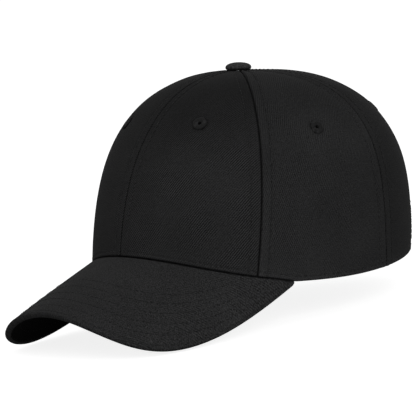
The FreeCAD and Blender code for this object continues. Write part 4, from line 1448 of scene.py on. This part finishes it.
def build_stitching(panels, band, cover, under):
    crown, brim = Skin(*panels), brim_paths()
    below = [(path - normals * BRIM_THICK, -normals) for path, normals in brim]
    inside = [band_row(height) for height in BAND_STITCHES]
    for name, rows, skin, thread, replaces in (
            ("crown_topstitching_rows", crown_rows(), crown, THREAD, ["crown_topstitching"]),
            ("hem_topstitching_rows", hem_rows() + arch_rows() + root_rows(), crown, THREAD, []),
            ("brim_topstitching_rows", brim, Skin(cover), THREAD, ["brim_topstitching"]),
            ("brim_under_stitching_rows", below, Skin(under), UNDER_THREAD_SHADED, []),
            ("sweatband_stitching_rows", inside, Skin(band), THREAD, [])):
        dress(sew(name, rows, skin), thread, replaces=replaces)


# ======== carried-over nodes ========

def build_carried():
    """CAD nodes whose own shape is shown get their materials here."""
    for node, material in (("button_cap", BUTTON_METAL), ("button_rivet", RIVET_METAL),
                           ("button_washer", RIVET_METAL), ("brim_board", BOARD_PLASTIC)):
        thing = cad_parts[node]
        thing.data.materials.clear()
        thing.data.materials.append(material)


# ======== stage ========

VIEW_AZIMUTH = math.radians(50.5)
VIEW_ELEVATION = math.radians(7.48)
VIEW_ROLL = math.radians(-7.5)
VIEW_DISTANCE = 4.081
VIEW_LENS = 582.7
TARGET_HEIGHT = 0.0548     # the view is laid out round this point of the origin's vertical
SHIFT_RIGHT = 0.0223       # which stands this far right of the picture's middle
SHIFT_UP = 0.01188         # and this far above it
LIGHT_AIM = 0.06           # height that every light faces
LIGHT_DISTANCE = 3.2
FLOOR_GAP = 0.0012         # the floor lies this far below the cap


def view_axes(azimuth, elevation, roll):
    back = Vector((math.sin(azimuth) * math.cos(elevation), -math.cos(azimuth) * math.cos(elevation),
                   math.sin(elevation)))
    right = Vector((math.cos(azimuth), math.sin(azimuth), 0))
    up = back.cross(right)
    c, s = math.cos(roll), math.sin(roll)
    return right * c + up * s, up * c - right * s, back


def stand(name, data, spot, axes):
    """Adds a camera or light at a spot, looking along minus the last of its axes."""
    holder = bpy.data.objects.new(name, data)
    bpy.context.scene.collection.objects.link(holder)
    holder.matrix_world = Matrix.Translation(spot) @ Matrix(axes).transposed().to_4x4()
    return holder


def add_camera():
    right, up, back = view_axes(VIEW_AZIMUTH, VIEW_ELEVATION, VIEW_ROLL)
    camera = bpy.data.cameras.new("camera")
    camera.lens = VIEW_LENS
    camera.clip_end = 100
    aim = Vector((0, 0, TARGET_HEIGHT)) - right * SHIFT_RIGHT - up * SHIFT_UP
    holder = stand("camera", camera, aim + back * VIEW_DISTANCE, (right, up, back))
    bpy.context.scene.camera = holder


def add_light(name, azimuth, elevation, size, power):
    """An area light that faces the cap."""
    axes = view_axes(math.radians(azimuth), math.radians(elevation), 0)
    light = bpy.data.lights.new(name, "AREA")
    light.size = size
    light.energy = power
    stand(name, light, Vector((0, 0, LIGHT_AIM)) + axes[2] * LIGHT_DISTANCE, axes)


def add_floor(low):
    bpy.ops.mesh.primitive_plane_add(size=30, location=(0, 0, low))
    floor = bpy.context.object
    floor.name = "floor"
    graph = Graph("pale_floor")
    seen = graph.node("LightPath", "Is Camera Ray")
    graph.finish((1, 1, 1), seen.ramp(0.0, 1.0, 0.12, 0.5), 0.9, 0.0)
    glow = {"Emission Color": (1, 1, 1, 1), "Emission Strength": seen.ramp(0.0, 1.0, 0.10, 0.85)}
    feed_all(graph.tree, graph.shader, glow)
    floor.data.materials.append(graph.material)


def add_world():
    """Even white light, brighter where the camera sees it."""
    world = bpy.data.worlds.new("world")
    bpy.context.scene.world = world
    world.use_nodes = True
    tree = world.node_tree
    seen = Value(tree, tree.nodes.new("ShaderNodeLightPath").outputs["Is Camera Ray"])
    glow = {"Color": (1, 1, 1, 1), "Strength": seen.ramp(0.0, 1.0, 0.44, 1.05)}
    feed_all(tree, tree.nodes["Background"], glow)


def add_stage():
    add_world()
    add_floor(CAD_BOX[0].z - FLOOR_GAP)
    add_light("key", 64, 20, 1.6, 51)
    add_light("low_left", 10, 4, 1.6, 1.5)
    add_light("top_left", -60, 40, 1.4, 3)
    add_camera()
    bpy.context.scene.view_settings.view_transform = "Standard"


# ======== build ========

crown_panels = build_panels()
build_buckram()
build_tapes()
sweatband = build_sweatband()
top_cover, under_cover = build_brim()
build_eyelets()
build_button()
build_straps()
build_stitching(crown_panels, sweatband, top_cover, under_cover)
build_carried()
add_stage()

bpy.context.view_layer.update()
